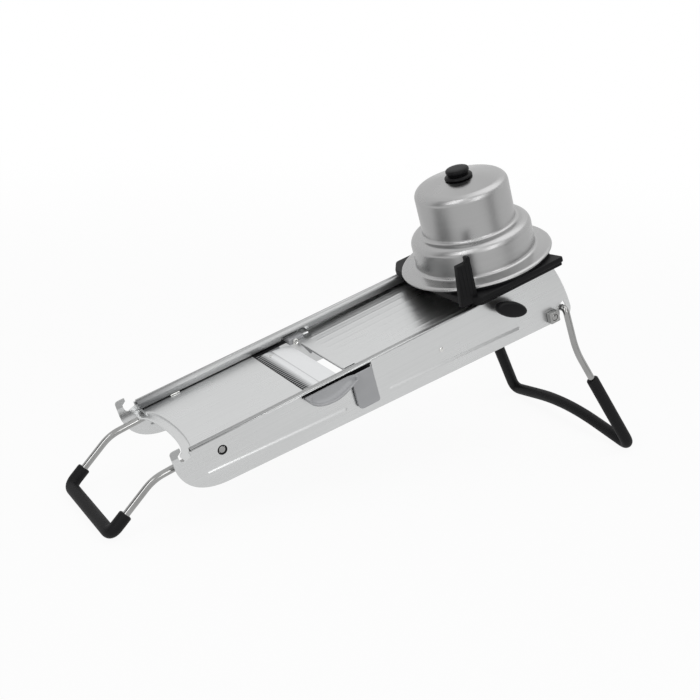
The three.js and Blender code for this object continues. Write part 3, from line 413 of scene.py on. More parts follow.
# The exit plate is the fixed lower half of the bed: brushed stainless sheet with a hollowed
# end that dips to a lip, and its long edges folded down where it is spot-welded to the walls.
BED_HALF = 60.7
BED_TOP = -8
BED_SHEET = 1
PLATE_LOW_U, PLATE_HIGH_U = 2, 117.1
HOLLOW_REACH, HOLLOW_HALF = 8.7, 47
LIP_FOLD, LIP_DIP = (6.6, 7.5), 2
LIP_HALF = 43
FLANGE_U = (38.5, 105)
FLANGE_DROP = 5


def exit_plate():
    """The plate's top skin: rows along the bed from the hollow lip to the blade's seat."""
    start, end = LIP_FOLD
    spots = [0, 2, 4, start] + [start + (end - start) * k / 5 for k in range(1, 6)] + [9.6, 14, 22]
    columns = [HOLLOW_HALF * sin(pi * (k / 44 - 0.5)) for k in range(45)]
    columns = [-BED_HALF, -54, -50, -48] + columns + [48, 50, 54, BED_HALF]
    rows = []
    for spot in spots:
        half = LIP_HALF + (HOLLOW_HALF - LIP_HALF) * min(1, spot / start)
        hollow = [HOLLOW_REACH * sqrt(max(0, 1 - (v / half) ** 2)) for v in columns]
        share = min(1, max(0, (spot - start) / (end - start)))
        n = BED_TOP - LIP_DIP * (1 + cos(pi * share)) / 2
        rows.append([(PLATE_LOW_U + reach + spot, v, n) for reach, v in zip(hollow, columns)])
    for u in (FLANGE_U[0], (FLANGE_U[0] + FLANGE_U[1]) / 2, FLANGE_U[1], PLATE_HIGH_U):
        rows.append([(u, v, BED_TOP) for v in columns])
    return Form().rings(rows, closed=False)


make("exit_plate.dished", exit_plate(), brushed_stainless, "frame", outward=(0, 0, 1), sheet=BED_SHEET,
     crease=60, even=True)


def plate_flange(side):
    """The fold along one edge of the exit plate."""
    section = [(0.9, 0.02), (0.25, 0.3), (0, 1), (0, FLANGE_DROP), (1, FLANGE_DROP), (1, 1.2)]
    section = [(side * (BED_HALF - 0.02 - inwards), BED_TOP - down) for inwards, down in section]
    return Form().rings([[(u, *p) for p in section] for u in FLANGE_U], capped=True)


for side, name in SIDES:
    make("exit_plate_fold_" + name, plate_flange(side), brushed_stainless, "frame")


# A small tongue of bright sheet is welded on at the exit plate's far edge, where it locates
# the plate in the wall's fold. It is as bright as the turned pieces, and has their finish.
TONGUE = ((36, 52.9, 0.4), (45, 52.9, 0.4), (45, 54.3, 0.2), (36, 54.3, 0.2))
TONGUE_N = (-7.9, -6.7)


def inset(loop, amount):
    """Moves a closed loop inwards, or outwards for a loop that runs clockwise."""
    moved = []
    for i, (x, y) in enumerate(loop):
        before, after = Vector(loop[i - 1]), Vector(loop[(i + 1) % len(loop)])
        one, two = (Vector((x, y)) - before).normalized(), (after - Vector((x, y))).normalized()
        square = Vector((-one.y, one.x))
        left = Vector((-one.y - two.y, one.x + two.x))
        left = left.normalized() if left.length > 1e-6 else square
        reach = amount / max(0.5, left.dot(square))
        moved.append((x + left.x * reach, y + left.y * reach))
    return moved


def counter(loop, ccw=True):
    """The loop turned to run counter-clockwise, or clockwise for a hole."""
    area = sum(a[0] * b[1] - a[1] * b[0] for a, b in zip(loop, loop[1:] + loop[:1]))
    return loop if (area > 0) == ccw else loop[::-1]


def slab(form, outline, low, high, edge=0.4, holes=(), view="plan", steps=3):
    """A flat piece between two levels, with holes and with rounded edges."""
    def lift(loop, level):
        return [(x, y, level) if view == "plan" else (x, level, y) for x, y in loop]

    loops = [counter(list(outline))] + [counter(list(hole), False) for hole in holes]
    turns = [pi / 2 * k / steps for k in range(steps + 1)]
    for loop in loops:
        lower = [(edge * (1 - sin(t)), low + edge * (1 - cos(t))) for t in turns]
        upper = [(amount, high + low - level) for amount, level in reversed(lower)]
        form.rings([lift(inset(loop, amount), level) for amount, level in lower + upper])
    points, faces = filled([inset(loop, edge) for loop in loops])
    for level in (low, high):
        form.add(lift(points, level), faces, flat=True)
    return form


def round_corner(before, here, after, reach, steps):
    """A corner between two neighbours, rounded from a reach before it to one after it."""
    before, here, after = Vector(before), Vector(here), Vector(after)
    entry = here + (before - here).normalized() * reach
    leave = here + (after - here).normalized() * reach
    return bezier([entry, here, leave], steps)


def rounded_corners(corners, steps=6):
    """A loop whose corners are rounded by their own reach, each corner being x, y and reach."""
    loop = []
    for i, (x, y, reach) in enumerate(corners):
        before, after = corners[i - 1][:2], corners[(i + 1) % len(corners)][:2]
        loop += round_corner(before, (x, y), after, reach, steps) if reach else [(x, y)]
    return loop


make("exit_plate_tongue", slab(Form(), rounded_corners(TONGUE, 3), *TONGUE_N, edge=0.3),
     turned_stainless, "frame")

# The seat bar is an angle of stainless sheet welded across under the exit plate's edge. It
# carries the blade block, and is seen only from below.


def keep(node, material, edge=0.25):
    """Gives a CAD node its real finish and a small round on its edges."""
    piece = frame["nodes"][node]
    weld = piece.modifiers.new("weld", "WELD")
    weld.merge_threshold = 0.01 * MM
    rounded = piece.modifiers.new("rounded", "BEVEL")
    rounded.width, rounded.segments = edge * MM, 2
    rounded.limit_method, rounded.angle_limit = "ANGLE", radians(50)
    piece.data.materials.clear()
    piece.data.materials.append(material)


keep("seat_bar", brushed_stainless, edge=0.15)

# The ramp's hinge: a turned stainless pin in two grey bushes of die-cast zinc, which are
# riveted to the insides of the walls.

# Zinc alloy, die cast and tumbled, then lacquered. The eye sees a flat mid grey with a soft
# sheen and a fine grain. The real grain is 0.2 mm, and is drawn 0.5 mm so that it shows.
CAST_GRAIN = 0.5


def mottled(name, grain, detail, clouds, colours, rough, relief, shader):
    """A material whose colour drifts in clouds, with a fine grain of a size in millimetres."""
    material, tree, place = new_material(name)
    fine = add(tree, "TexNoise", {"Vector": place, "Scale": 1 / (grain * MM), "Detail": detail})
    cloud = add(tree, "TexNoise", {"Vector": place, "Scale": clouds, "Detail": 2})
    tone = add(tree, "Mix", {"Factor": cloud, "A": colours[0], "B": colours[1]}, data_type="RGBA")
    finish(tree, tone, fine, rough, fine, relief, shader)
    return material


grey_casting = mottled("lacquered_zinc_casting", CAST_GRAIN, 3, 60,
                       ("#9FA0A2", "#A9AAAC"), (0.42, 0.56), (0.18, 0.04), {"Metallic": 0.15})
keep("ramp_hinge_pin", turned_stainless)
for side, name in SIDES:
    keep("hinge_bush_" + name, grey_casting)

# The ramp is the upper half of the bed: a stainless sheet pressed with shallow ribs so that
# wet food doesn't stick, slotted at its near low corner, and rolled into a barrel round the
# hinge pin at its high edge.
RAMP_LOW_U, RAMP_HINGE = 160.2, (366, -11.6)
RAMP_LOW_N, RAMP_HIGH_N = -11, -8
RAMP_HALF = 60.2
RAMP_SHEET = 1
BARREL, BARREL_INSET = 3.6, 4
RIB_COUNT, RIB_WIDTH, RIB_RISE, RIB_INSET = 11, 4.6, 0.2, 8
RIBS_TO_U, RIB_FADE_LOW, RIB_FADE_HIGH = 358, 4.8, 6
COLUMN_PITCH = 0.6
RAMP_SLOT_U, RAMP_SLOT_V = (160.2, 171), (-37.2, -35)
HUB_ROOM = ((162.3, 48.2), (168.3, 49.7))


def ramp_top(u):
    """How high the ramp's top lies at one place along it."""
    return RAMP_LOW_N + (RAMP_HIGH_N - RAMP_LOW_N) * (u - RAMP_LOW_U) / (RAMP_HINGE[0] - RAMP_LOW_U)


def rib_rise(v):
    """The rounded rise of the rib nearest to one place across the ramp."""
    pitch = 2 * (RAMP_HALF - RIB_INSET) / (RIB_COUNT - 1)
    place = (v + RAMP_HALF - RIB_INSET) / pitch
    nearest = min(RIB_COUNT - 1, max(0, round(place)))
    away = abs(place - nearest) * pitch / (RIB_WIDTH / 2)
    return RIB_RISE * (1 + cos(pi * min(1, away))) / 2


def ramp_plate():
    """The ramp's top skin, with gaps for the slot and the bracket's hub, and its rolled barrel."""
    rooms = [(RAMP_LOW_U, u, v, RAMP_HALF) for u, v in HUB_ROOM] + [(*RAMP_SLOT_U, *RAMP_SLOT_V)]
    count, reach = int(2 * RAMP_HALF / COLUMN_PITCH) + 1, RAMP_HALF - BARREL_INSET
    columns = {round(-RAMP_HALF + COLUMN_PITCH * k, 3) for k in range(count)} | {v for u, v in HUB_ROOM}
    columns = sorted(columns | {RAMP_HALF, *RAMP_SLOT_V, -reach, reach})
    ribs_from = RAMP_LOW_U + RIB_INSET
    spots = {RAMP_LOW_U, RAMP_LOW_U + 1.5, ribs_from, 340, 352, RIBS_TO_U, RAMP_HINGE[0]}
    spots |= {ribs_from + RIB_FADE_LOW / 4 * k for k in range(1, 5)}
    spots = sorted(spots | {u for room in rooms for u in room[:2]})
    points, faces = [], []
    for u in spots:
        fade = min(1, max(0, (u - ribs_from) / RIB_FADE_LOW))
        fade *= min(1, max(0, (RIBS_TO_U - u) / RIB_FADE_HIGH))
        points += [(u, v, ramp_top(u) + rib_rise(v) * fade * fade * (3 - 2 * fade)) for v in columns]
    roll = arc(RAMP_HINGE, BARREL, 90, -225, 30)[1:]
    points += [(u, v, n) for u, n in roll for v in columns]
    wide, flat_rows = len(columns), len(spots) - 1
    for r in range(flat_rows + len(roll)):
        for c in range(wide - 1):
            v = (columns[c] + columns[c + 1]) / 2
            if r < flat_rows:
                u = (spots[r] + spots[r + 1]) / 2
                kept = not any(a <= u <= b and near <= v <= far for a, b, near, far in rooms)
            else:
                kept = abs(v) < reach
            if kept:
                here = r * wide + c
                faces.append((here, here + 1, here + wide + 1, here + wide))
    return Form().add(points, faces)


make("ramp_plate.ribbed", ramp_plate(), brushed_stainless, "ramp", outward=(0, 0, 1), sheet=RAMP_SHEET,
     crease=50, even=True)

# The ramp's low edge is stiffened by a die-cast bar under it. The bar reaches through the
# near wall's window and carries the grey tab outside, by which the ramp is lifted.
TAB_U = (151.6, 172)
TAB_N = (-36.5, -4)
TAB_V = (-66.1, -64.9)
TAB_ROUND_LOW, TAB_ROUND_HIGH = 5, 2.5
TAB_FLANGE_U, TAB_FLANGE_V, TAB_FLANGE_N = (151.6, 153), (-65.9, -63.6), (-31.6, -16.2)

tab_corners = ((TAB_U[1], TAB_N[1], 0.6), (TAB_U[0], TAB_N[1], 0.6), (TAB_U[0], TAB_N[0], TAB_ROUND_LOW),
               (TAB_U[1], TAB_N[0], TAB_ROUND_HIGH))
tab = slab(Form(), rounded_corners(tab_corners), *TAB_V, edge=0.5, view="side")
(low, high), (under, over) = TAB_FLANGE_U, TAB_FLANGE_N
flange = rounded_corners([(u, n, 0.5) for u, n in ((low, under), (high, under), (high, over), (low, over))])
tab = slab(tab, flange, *TAB_FLANGE_V, edge=0.3, view="side")
make("thickness_tab.cast", tab, grey_casting, "ramp")
keep("ramp_bar", grey_casting)

# At the far corner the bar ends in a die-cast hub with a pointed arm, held by a ring rivet. A
# bright end tab of folded stainless sheet lies over the ramp's edge beside it.
HUB_V, HUB_ARM_V = (50, 60.2), (50, 51.5)
HUB = ((168, -7.6, 0.6), (152.5, -7.6, 2.6), (152.5, -13, 1.6), (168, -13, 0.6))
HUB_ARM = ((168, -11), (161, -11), (163.2, -16), (169.6, -29), (170.4, -29.4), (171.4, -28.6))
HUB_RIVET = (159, -11.4)
FAR_TAB_U = (168.6, 174.6)
FAR_TAB_SECTION = ((60.1, -7.0), (53, -9.3), (52.3, -9.8), (52.4, -10.1), (53, -10.1), (60.1, -8.2))
RING_PROFILE = ((0, 49.3), (1.2, 49.3), (1.5, 48.9), (1.9, 48.5), (2.5, 48.5), (2.9, 48.9), (3, 49.7),
                (0, 49.7))

hub = slab(Form(), rounded_corners(HUB), *HUB_V, edge=0.6, view="side")
slab(hub, HUB_ARM, *HUB_ARM_V, edge=0.3, view="side")
make("ramp_far_bracket.cast", hub, grey_casting, "ramp")
make("ramp_far_rivet.set", turned(Form(), RING_PROFILE, HUB_RIVET, axis="v"), turned_stainless, "ramp")
low, high = FAR_TAB_U
middle = sum((Vector(p) for p in FAR_TAB_SECTION), Vector((0, 0))) / len(FAR_TAB_SECTION)
ends = [(low, 0.7), (low + 0.15, 0.9), (low + 0.6, 1), (high - 0.6, 1), (high - 0.15, 0.9), (high, 0.7)]
rings = [[(u, *(middle + (Vector(p) - middle) * size)) for p in FAR_TAB_SECTION] for u, size in ends]
make("ramp_far_tab.folded", Form().rings(rings, capped=True), brushed_stainless, "ramp")

# The thickness knob is an oval of black plastic moulded on a turned stainless shaft, which
# runs across through both walls, carries two cams under the ramp and is kept by a clip.
KNOB = (309.5, -13)
KNOB_TURN = radians(-30)
KNOB_REACH = (16, 6.9)
KNOB_SHAFT = (313.484, -15.3)
KNOB_BACK_V, KNOB_FACE_V = -68.8, -75.8

# ABS with a fine spark-eroded texture from the mould. The eye sees a deep black with a soft
# broad sheen. The real texture is 0.1 mm, and is drawn 0.35 mm so that it shows.
MOULD_GRAIN = 0.35
black_abs = mottled("moulded_black_abs", MOULD_GRAIN, 2, 45, ("#0B0B0C", "#131315"),
                    (0.36, 0.52), (0.12, 0.03), {"IOR": 1.53, "Specular IOR Level": 0.12})


def oval(inwards, v):
    """The knob's outline, drawn in by an amount, at one v."""
    wide, high = KNOB_REACH[0] - inwards, KNOB_REACH[1] - inwards
    c, s = cos(KNOB_TURN), sin(KNOB_TURN)
    points = [(wide * x, high * y) for x, y in circle(1, 72)]
    return [(KNOB[0] + x * c - y * s, v, KNOB[1] + x * s + y * c) for x, y in points]


def thickness_knob():
    """The crowned oval head and its round neck."""
    back, face = KNOB_BACK_V, KNOB_FACE_V
    shape = [(6.4, back), (1.2, back), (0.5, back - 0.3), (0.1, back - 1), (0, back - 2), (0.1, face + 2.2),
             (0.5, face + 1.2), (1.3, face + 0.5), (2.4, face + 0.2), (4.2, face + 0.05), (6.6, face)]
    form = Form().rings([oval(amount, v) for amount, v in shape], capped=True)
    neck = [(2.8, -62.8), (5.2, -62.8), (5.5, -63.1), (5.5, -68.2), (5.9, -69), (2.8, -69)]
    return turned(form, neck, KNOB_SHAFT, axis="v")


make("thickness_knob.moulded", thickness_knob(), black_abs, "knob")
keep("thickness_shaft", turned_stainless)
keep("thickness_shaft_clip", turned_stainless, edge=0.15)
for side, name in SIDES:
    keep("thickness_cam_" + name, black_abs)

# Two strips of the same black plastic stand behind the near wall's slot and over the blade block's
# far end, where they give the dark of the shade there: painted shade.
GUIDE_NEAR = ((107.4, -1.4), (173.2, -1.4), (173.2, -7.7), (107.4, -7.7))
GUIDE_NEAR_V = (-60.9, -60)
GUIDE_FAR = ((113, 50.9), (151, 50.9), (151, 60.5), (113, 60.5))
GUIDE_FAR_N = (-9.2, -8.3)

make("blade_guide_near", slab(Form(), GUIDE_NEAR, *GUIDE_NEAR_V, edge=0.25, view="side"), black_abs,
     "frame")
make("blade_guide_far", slab(Form(), GUIDE_FAR, *GUIDE_FAR_N, edge=0.25), black_abs, "frame")

# The blade is a strip of hardened stainless steel, ground to a straight edge uphill and to a
# row of flutes downhill, so that it cuts either way round. It is riveted to its block.
BLADE_U = (117.4, 150.3)
BLADE_HALF = 60.2
BLADE_SHEET = 1.2
BLADE_FAR_V, BLADE_FAR_SLANT = 50, 8
FLUTE_PITCH, FLUTE_DEPTH, FLUTE_END_U = 3.3, 0.72, 128.4
BEVEL_DROP = 0.3
GROOVE_LINE_U, GROOVE_DEPTH = 133, 0.25
BLADE_RIVET_U, BLADE_RIVETS_V = 128.8, (-53.2, 39)

# Hardened stainless steel, surface ground across the strip and lapped. The eye sees a very
# light, even metal with a faint cross grain. The flutes, the strip's low edge and the groove line
# are painted dark: painted shade in the hollows and at the edge. The real scratches are 0.02 mm
# wide, and are drawn 0.5 mm wide so that they show.
SCRATCH_WIDTH, SCRATCH_LENGTH = 0.5, 20
ground_steel, tree, place = new_material("ground_blade_steel")
scratches = strokes_along(tree, place, SCRATCH_LENGTH, SCRATCH_WIDTH, 2)
tone = add(tree, "Mix", {"Factor": scratches, "A": "#DADBDC", "B": "#E3E4E5"}, data_type="RGBA")
parts = add(tree, "SeparateXYZ", {"Vector": place})
u, v = parts.outputs["X"], parts.outputs["Y"]
phase = {0: v, 1: 1 / (FLUTE_PITCH * MM), 2: BLADE_HALF / FLUTE_PITCH}
phase = add(tree, "Math", {0: add(tree, "Math", phase, operation="MULTIPLY_ADD")}, operation="FRACT")
away = add(tree, "Math", {0: phase, 1: 0.5}, operation="SUBTRACT")
away = add(tree, "Math", {0: away}, operation="ABSOLUTE")
# Painted shade: the flutes are dark, darkest at the strip's low edge, and the groove line too.
flute = {"Value": away, "From Min": 0.2, "From Max": 0.42, "To Min": 1, "To Max": 0.6}
band = {"Value": u, "From Min": (FLUTE_END_U - 6) * MM, "From Max": FLUTE_END_U * MM, "To Min": 1,
        "To Max": 0}
flute = {0: add(tree, "MapRange", flute), 1: add(tree, "MapRange", band)}
edge = {"Value": u, "From Min": (BLADE_U[0] + 0.8) * MM, "From Max": (BLADE_U[0] + 3) * MM, "To Min": 0.95,
        "To Max": 0}
smut = {0: add(tree, "Math", flute, operation="MULTIPLY"), 1: add(tree, "MapRange", edge)}
smut = add(tree, "Math", smut, operation="MAXIMUM")
line = add(tree, "Math", {0: u, 1: GROOVE_LINE_U * MM}, operation="SUBTRACT")
line = add(tree, "Math", {0: line}, operation="ABSOLUTE")
line = {"Value": line, "From Min": 0.3 * MM, "From Max": 0.7 * MM, "To Min": 0.25, "To Max": 0}
smut = add(tree, "Math", {0: smut, 1: add(tree, "MapRange", line)}, operation="MAXIMUM")
tone = add(tree, "Mix", {"Factor": smut, "A": tone, "B": "#191A1B"}, data_type="RGBA")
finish(tree, tone, scratches, (0.24, 0.36), scratches, (0.08, 0.02), {"Metallic": 1})


def blade():
    """The strip: a fine grid on top for the flutes, and a flat back."""
    low, high = BLADE_U
    under = BED_TOP - BLADE_SHEET
    across = 8 * int((BLADE_HALF + BLADE_FAR_V) / FLUTE_PITCH)

    def columns(u):
        far = BLADE_FAR_V - BLADE_FAR_SLANT * (u - low) / (high - low)
        return [min(far, -BLADE_HALF + FLUTE_PITCH * k / 8) for k in range(across)] + [far]

    line, end = GROOVE_LINE_U, FLUTE_END_U
    spots = [low, low + 2, low + 4, low + 6, end - 1.2, end - 0.5, end, line - 0.6, line, line + 0.6,
             high - 6, high]
    rows = [[(low, v, under) for v in columns(low)]]
    for u in spots:
        row = []
        for k, v in enumerate(columns(u)):
            top = BED_TOP
            if u < end:
                slope = (end - u) / (end - low)
                deep = (1 - cos(2 * pi * k / 8)) / 2 if 4 <= k <= across - 4 else 0
                hollow = FLUTE_DEPTH * min(1, end - u)
                top -= BEVEL_DROP * slope + hollow * deep ** 0.7 * (0.75 + 0.25 * slope)
            if u == line:
                top -= GROOVE_DEPTH
            if u == high:
                top = under + 0.25
            row.append((u, v, top))
        rows.append(row)
    rows.append([(high, v, under) for v in columns(high)])
    form = Form().rings(rows, closed=False)
    form.rings([rows[-1], rows[0]], closed=False)
    for k in (0, -1):
        form.add([row[k] for row in rows], [range(len(rows))], flat=True)
    return form


make("blade.ground", blade(), ground_steel, "blade_cassette", crease=34)
BLADE_RIVET = ((0, -12.2), (1.75, -12.2), (1.8, -8), (1.6, -7.92), (0.9, -7.86), (0, -7.84))
for v, (side, name) in zip(BLADE_RIVETS_V, SIDES):
    make(f"blade_rivet_{name}.set", turned(Form(), BLADE_RIVET, (BLADE_RIVET_U, v)), turned_stainless,
         "blade_cassette")

# The blade block is a die-cast tray that slides out of the near wall's slot. A half-moon
# scoop with a rolled rim is cast on its end, and a fingertip in it pulls the tray out.
GRIP_U = (109, 156)
GRIP_N = (-15.6, -3.6)
GRIP_V = (-72, -63.8)
GRIP_END, GRIP_SIDE = 2.6, 5
GRIP_RIM = 2.4
TAB_ROOM_U, TAB_ROOM_V = 151, -66.4


def half_moon(amount):
    """The scoop's curved edge drawn in by an amount, from its high end round to its low end."""
    low, high, bottom = GRIP_U[0] + amount, GRIP_U[1] - amount, GRIP_N[0] + amount
    middle, start, reach = (low + high) / 2, GRIP_N[1] - GRIP_END, GRIP_SIDE
    left = bezier([(low, start), (low + reach, bottom), (middle - reach, bottom), (middle, bottom)], 20)
    right = bezier([(middle, bottom), (middle + reach, bottom), (high - reach, bottom + reach),
                    (high, start)], 20)
    return [(low, GRIP_N[1])] + left + right[1:] + [(high, GRIP_N[1])]


def grip():
    """The rim as a rounded wall round the curve, and the dished floor inside it."""
    face, back = GRIP_V

    def ring(amount, v):
        return [(u, min(v, TAB_ROOM_V) if u > TAB_ROOM_U else v, n) for u, n in half_moon(amount)]

    rim = ((0, back - face), (0, 1.4), (0.18, 0.7), (0.6, 0.2), (1.2, 0), (1.8, 0.2), (2.25, 0.7),
           (GRIP_RIM, 1.4))
    floor = ((2.7, 2.3), (3.3, 3.2), (4.4, 4), (6, 4.5))
    rings = [ring(amount, face + deep) for amount, deep in rim + floor]
    form = Form().rings(rings, closed=False)
    form.add(rings[-1], [range(len(rings[-1]))])
    backs = [ring(6, back), ring(0, back)]
    form.rings(backs, closed=False)
    form.add(backs[0], [range(len(backs[0]))])
    for end in (0, -1):
        form.add([ring[end] for ring in rings + backs[:1]], [range(len(rings) + 1)], flat=True)
    form.add([rings[-1][0], rings[-1][-1], backs[0][-1], backs[0][0]], [range(4)], flat=True)
    return form


make("blade_block_grip.cast", grip(), grey_casting, "blade_cassette")
keep("blade_block", grey_casting)

# The rear leg turns on an axle of polished stainless rod through both walls. A square nut
# outside each wall is screwed on and locks it.
AXLE_RADIUS, AXLE_REACH = 3, 68
NUT_SIZE, NUT_V = 10, (62.8, 68.3)

# Stainless wire and rod, drawn through a die and then polished. The eye sees a clear mirror
# with a faint waviness. The real ripple is 0.3 mm, and is drawn 2 mm so that it shows.
POLISH_RIPPLE = 2
polished_wire = mottled("polished_stainless_wire", POLISH_RIPPLE, 2, 70,
                        ("#8C8C8B", "#A4A4A3"), (0.1, 0.18), (0.03, 0.02), {"Metallic": 1})

rod = [(0, AXLE_REACH), (2.2, AXLE_REACH), (2.7, AXLE_REACH - 0.2), (AXLE_RADIUS, AXLE_REACH - 0.7)]
rod = [(radius, -v) for radius, v in rod] + rod[::-1]
make("leg_axle.polished", turned(Form(), rod, AXLE, axis="v"), polished_wire, "frame")
reach = NUT_SIZE / 2
square = rounded_corners([(AXLE[0] + x * reach, AXLE[1] + n * reach, 0.9)
                          for x, n in ((-1, -1), (1, -1), (1, 1), (-1, 1))], steps=3)
bore = [(AXLE[0] + x, AXLE[1] + n) for x, n in circle(AXLE_RADIUS + 0.05, 32)]
for side, name in SIDES:
    levels = sorted(side * v for v in NUT_V)
    make(f"leg_nut_{name}.milled", slab(Form(), square, *levels, edge=0.5, holes=[bore], view="side"),
         polished_wire, "frame")

# The front handle is one length of polished wire, bent to a wide hoop whose ends spring into
# the walls' holes. A sleeve of black rubber is pushed over its grip, and folds with it.
WIRE_RADIUS, WIRE_END_ROUND = 3, 0.7
SLEEVE_RADIUS, SLEEVE_BORE, SLEEVE_END_ROUND = 5.5, 3.4, 1.3
HANDLE = (((31.3, -62.2, -12.3), 0), ((31.3, -50.4, -12.3), 6), ((-25.4, -50.4, -14.6), 9),
          ((-71, -50.4, -40.7), 8))
HANDLE_SLEEVE_SHARE = 0.64

# Nitrile rubber, moulded in a blasted tool. The eye sees a dead black with a fine stipple and
# a faint grey sheen. The real stipple is 0.3 mm, and is drawn 0.7 mm so that it shows.
STIPPLE = 0.7
black_rubber, tree, place = new_material("moulded_nitrile_rubber")
stipple = add(tree, "TexVoronoi", {"Vector": place, "Scale": 1 / (STIPPLE * MM)})
cloud = add(tree, "TexNoise", {"Vector": place, "Scale": 50, "Detail": 3})
tone = add(tree, "Mix", {"Factor": cloud, "A": "#0E0E0F", "B": "#161618"}, data_type="RGBA")
finish(tree, tone, cloud, (0.5, 0.68), stipple, (0.35, 0.08),
       {"IOR": 1.52, "Specular IOR Level": 0.15})


def mirrored(corners):
    """The corners of the near half, and then those of the far half in return order."""
    return list(corners) + [((u, -v, n), reach) for (u, v, n), reach in reversed(corners)]


def bent(corners, steps=12):
    """The middle line of a wire that is straight between corners and rounded at each."""
    line = [corners[0][0]]
    for (before, _), (here, reach), (after, _) in zip(corners, corners[1:], corners[2:]):
        line += round_corner(before, here, after, reach, steps)
    return [Vector(point) for point in line + [corners[-1][0]]]


def eased(line, round_off, steps=5):
    """Adds points at both ends of a line, with how far the radius falls short at each point."""
    turns = [pi / 2 * k / steps for k in range(steps + 1)]
    ways = [(round_off * (1 - cos(t)), round_off * (1 - sin(t))) for t in turns]
    first, last = (line[1] - line[0]).normalized(), (line[-2] - line[-1]).normalized()
    start = [(line[0] + first * way, short) for way, short in ways]
    end = [(line[-1] + last * way, short) for way, short in reversed(ways)]
    return start + [(point, 0) for point in line[1:-1]] + end


def tube(stations, radius, sides=36):
    """Rings round a line, which keep their turn about it from one point to the next."""
    points = [point for point, short in stations]
    side = Vector((0, 0, 1)) if abs((points[1] - points[0]).normalized().z) < 0.9 else Vector((1, 0, 0))
    rings = []
    for k, (point, short) in enumerate(stations):
        before = (point - points[k - 1]).normalized() if k else Vector()
        after = (points[k + 1] - point).normalized() if k + 1 < len(points) else Vector()
        way = (before + after).normalized()
        side = (side - way * side.dot(way)).normalized()
        other = way.cross(side)
        rings.append([point + (radius - short) * (side * x + other * y) for x, y in circle(1, sides)])
    return rings


def wire(line):
    """A wire with rounded ends."""
    return Form().rings(tube(eased(line, WIRE_END_ROUND), WIRE_RADIUS), capped=True)


def sleeve(line):
    """A sleeve with rounded ends and an open bore."""
    outside = tube(eased(line, SLEEVE_END_ROUND), SLEEVE_RADIUS)
    inside = tube([(point, 0) for point in line], SLEEVE_BORE)
    return Form().rings(outside + inside[::-1], joined=True)


def last_stretch(corners, share):
    """The last corner, reached from a share of the way along the straight before it."""
    (start, _), end = corners[-2:]
    return (tuple(Vector(start).lerp(Vector(end[0]), share)), 0), end


# A ring of the same black rubber stands in each wall's hole round the wire's end, put there for
# the shade inside the hole: painted shade.
BUSH = ((3.15, 1.7), (4.15, 1.7), (4.15, 0.3), (4, 0.1), (3.3, 0.1), (3.15, 0.3))
for side, name in SIDES:
    ring = [(radius, side * (HALF_WIDTH - depth)) for radius, depth in BUSH]
    make("handle_bush_" + name, turned(Form(), ring, (PIVOT_U, PIVOT_N), axis="v"), black_rubber, "frame")
make("front_handle_wire.bent", wire(bent(mirrored(HANDLE))), polished_wire, "front_handle")
grip_line = bent(mirrored(last_stretch(HANDLE, HANDLE_SLEEVE_SHARE)))
make("front_handle_sleeve.moulded", sleeve(grip_line), black_rubber, "front_handle")

# The rear leg is one length of the same wire, coiled round the axle inside each wall, led out
# under the walls and splayed to two feet. Its foot has a sleeve of black rubber too.
EYE_RADIUS, EYE_V = 8, (54.7, 60.7)
LEG = (((362.2, -57.7, -41), 0), ((368, -57.7, -41), 4.4), ((368, -66.5, -41), 4.4),
       ((367.5, -71, -82), 12), ((394.4, -88.8, -191.6), 11))
LEG_MIDDLE = ((394.4, 0, -175.6), 44.4)
LEG_SLEEVE_SHARE = 0.29


def whole_leg(near):
    """The near half, the raised middle of the foot, and the far half."""
    both = mirrored(near)
    return both[: len(near)] + [LEG_MIDDLE] + both[len(near) :]


def rear_leg():
    """The wire and its two eyes."""
    form = wire(bent(whole_leg(LEG)))
    low, high = EYE_V
    half = [(AXLE_RADIUS + 0.3, low), (EYE_RADIUS - 1, low), (EYE_RADIUS - 0.3, low + 0.3),
            (EYE_RADIUS, low + 1)]
    ring = half + [(radius, low + high - v) for radius, v in reversed(half)]
    for side in (-1, 1):
        turned(form, [(radius, side * v) for radius, v in ring], AXLE, axis="v")
    return form


make("rear_leg_wire.bent", rear_leg(), polished_wire, "rear_leg")
foot_line = bent(whole_leg(last_stretch(LEG, LEG_SLEEVE_SHARE)))
make("rear_leg_sleeve.moulded", sleeve(foot_line), black_rubber, "rear_leg")

# The carriage is one black plastic moulding that slides on the walls' rails. Two levels make
# its rim, a low ring seats the dome, and two guide posts stand at opposite corners.
DOME_U = 329.8
CARRIAGE_HALF_LENGTH, CARRIAGE_HALF_WIDTH = 56, 68.5
CARRIAGE_CHAMFER = (11, 16)
CARRIAGE_OPENING = 50
LOWER_INSET, LOWER_N, UPPER_N = 1.4, (0.3, 3.9), (3.6, 8.5)
SEAT_RING, SEAT_TOP_N = (52, 67.6), 10.2
CORNER_CUT, CORNER_REACH, CORNER_TURN = (45, -68.5), 63, (-49.5, -27.3)
RUNNER_U, RUNNER_V, RUNNER_N = (284.8, 374.8), (51, 54), (-4, 3.8)
POST = ((269, 3.6), (286.2, 3.6), (286.45, 45), (282.98, 45), (282.98, 40.5), (273, 40.5))
POST_V = (-62.2, -56.2)
POST_RIB_U, POST_RIB_N = (272.6, 276.2, 279.8, 283.4), (10.5, 38)


def carriage_plan(amount):
    """The outline with cut corners, drawn in by an amount. The high near corner is cut most."""
    length, width = CARRIAGE_HALF_LENGTH, CARRIAGE_HALF_WIDTH
    cut_u, cut_v = CARRIAGE_CHAMFER
    corner = [(length, width - cut_v), (length - cut_u, width)]
    turns = ((1, 1, corner), (-1, 1, corner[::-1]), (-1, -1, corner))
    outline = rounded_corners([(x * a, y * b, 3) for x, y, points in turns for a, b in points]
                              + [(*CORNER_CUT, 3)]
                              + [(x, y, 0) for x, y in arc((0, 0), CORNER_REACH, *CORNER_TURN, 10)])
    return [(DOME_U + x, y) for x, y in inset(outline, amount)]


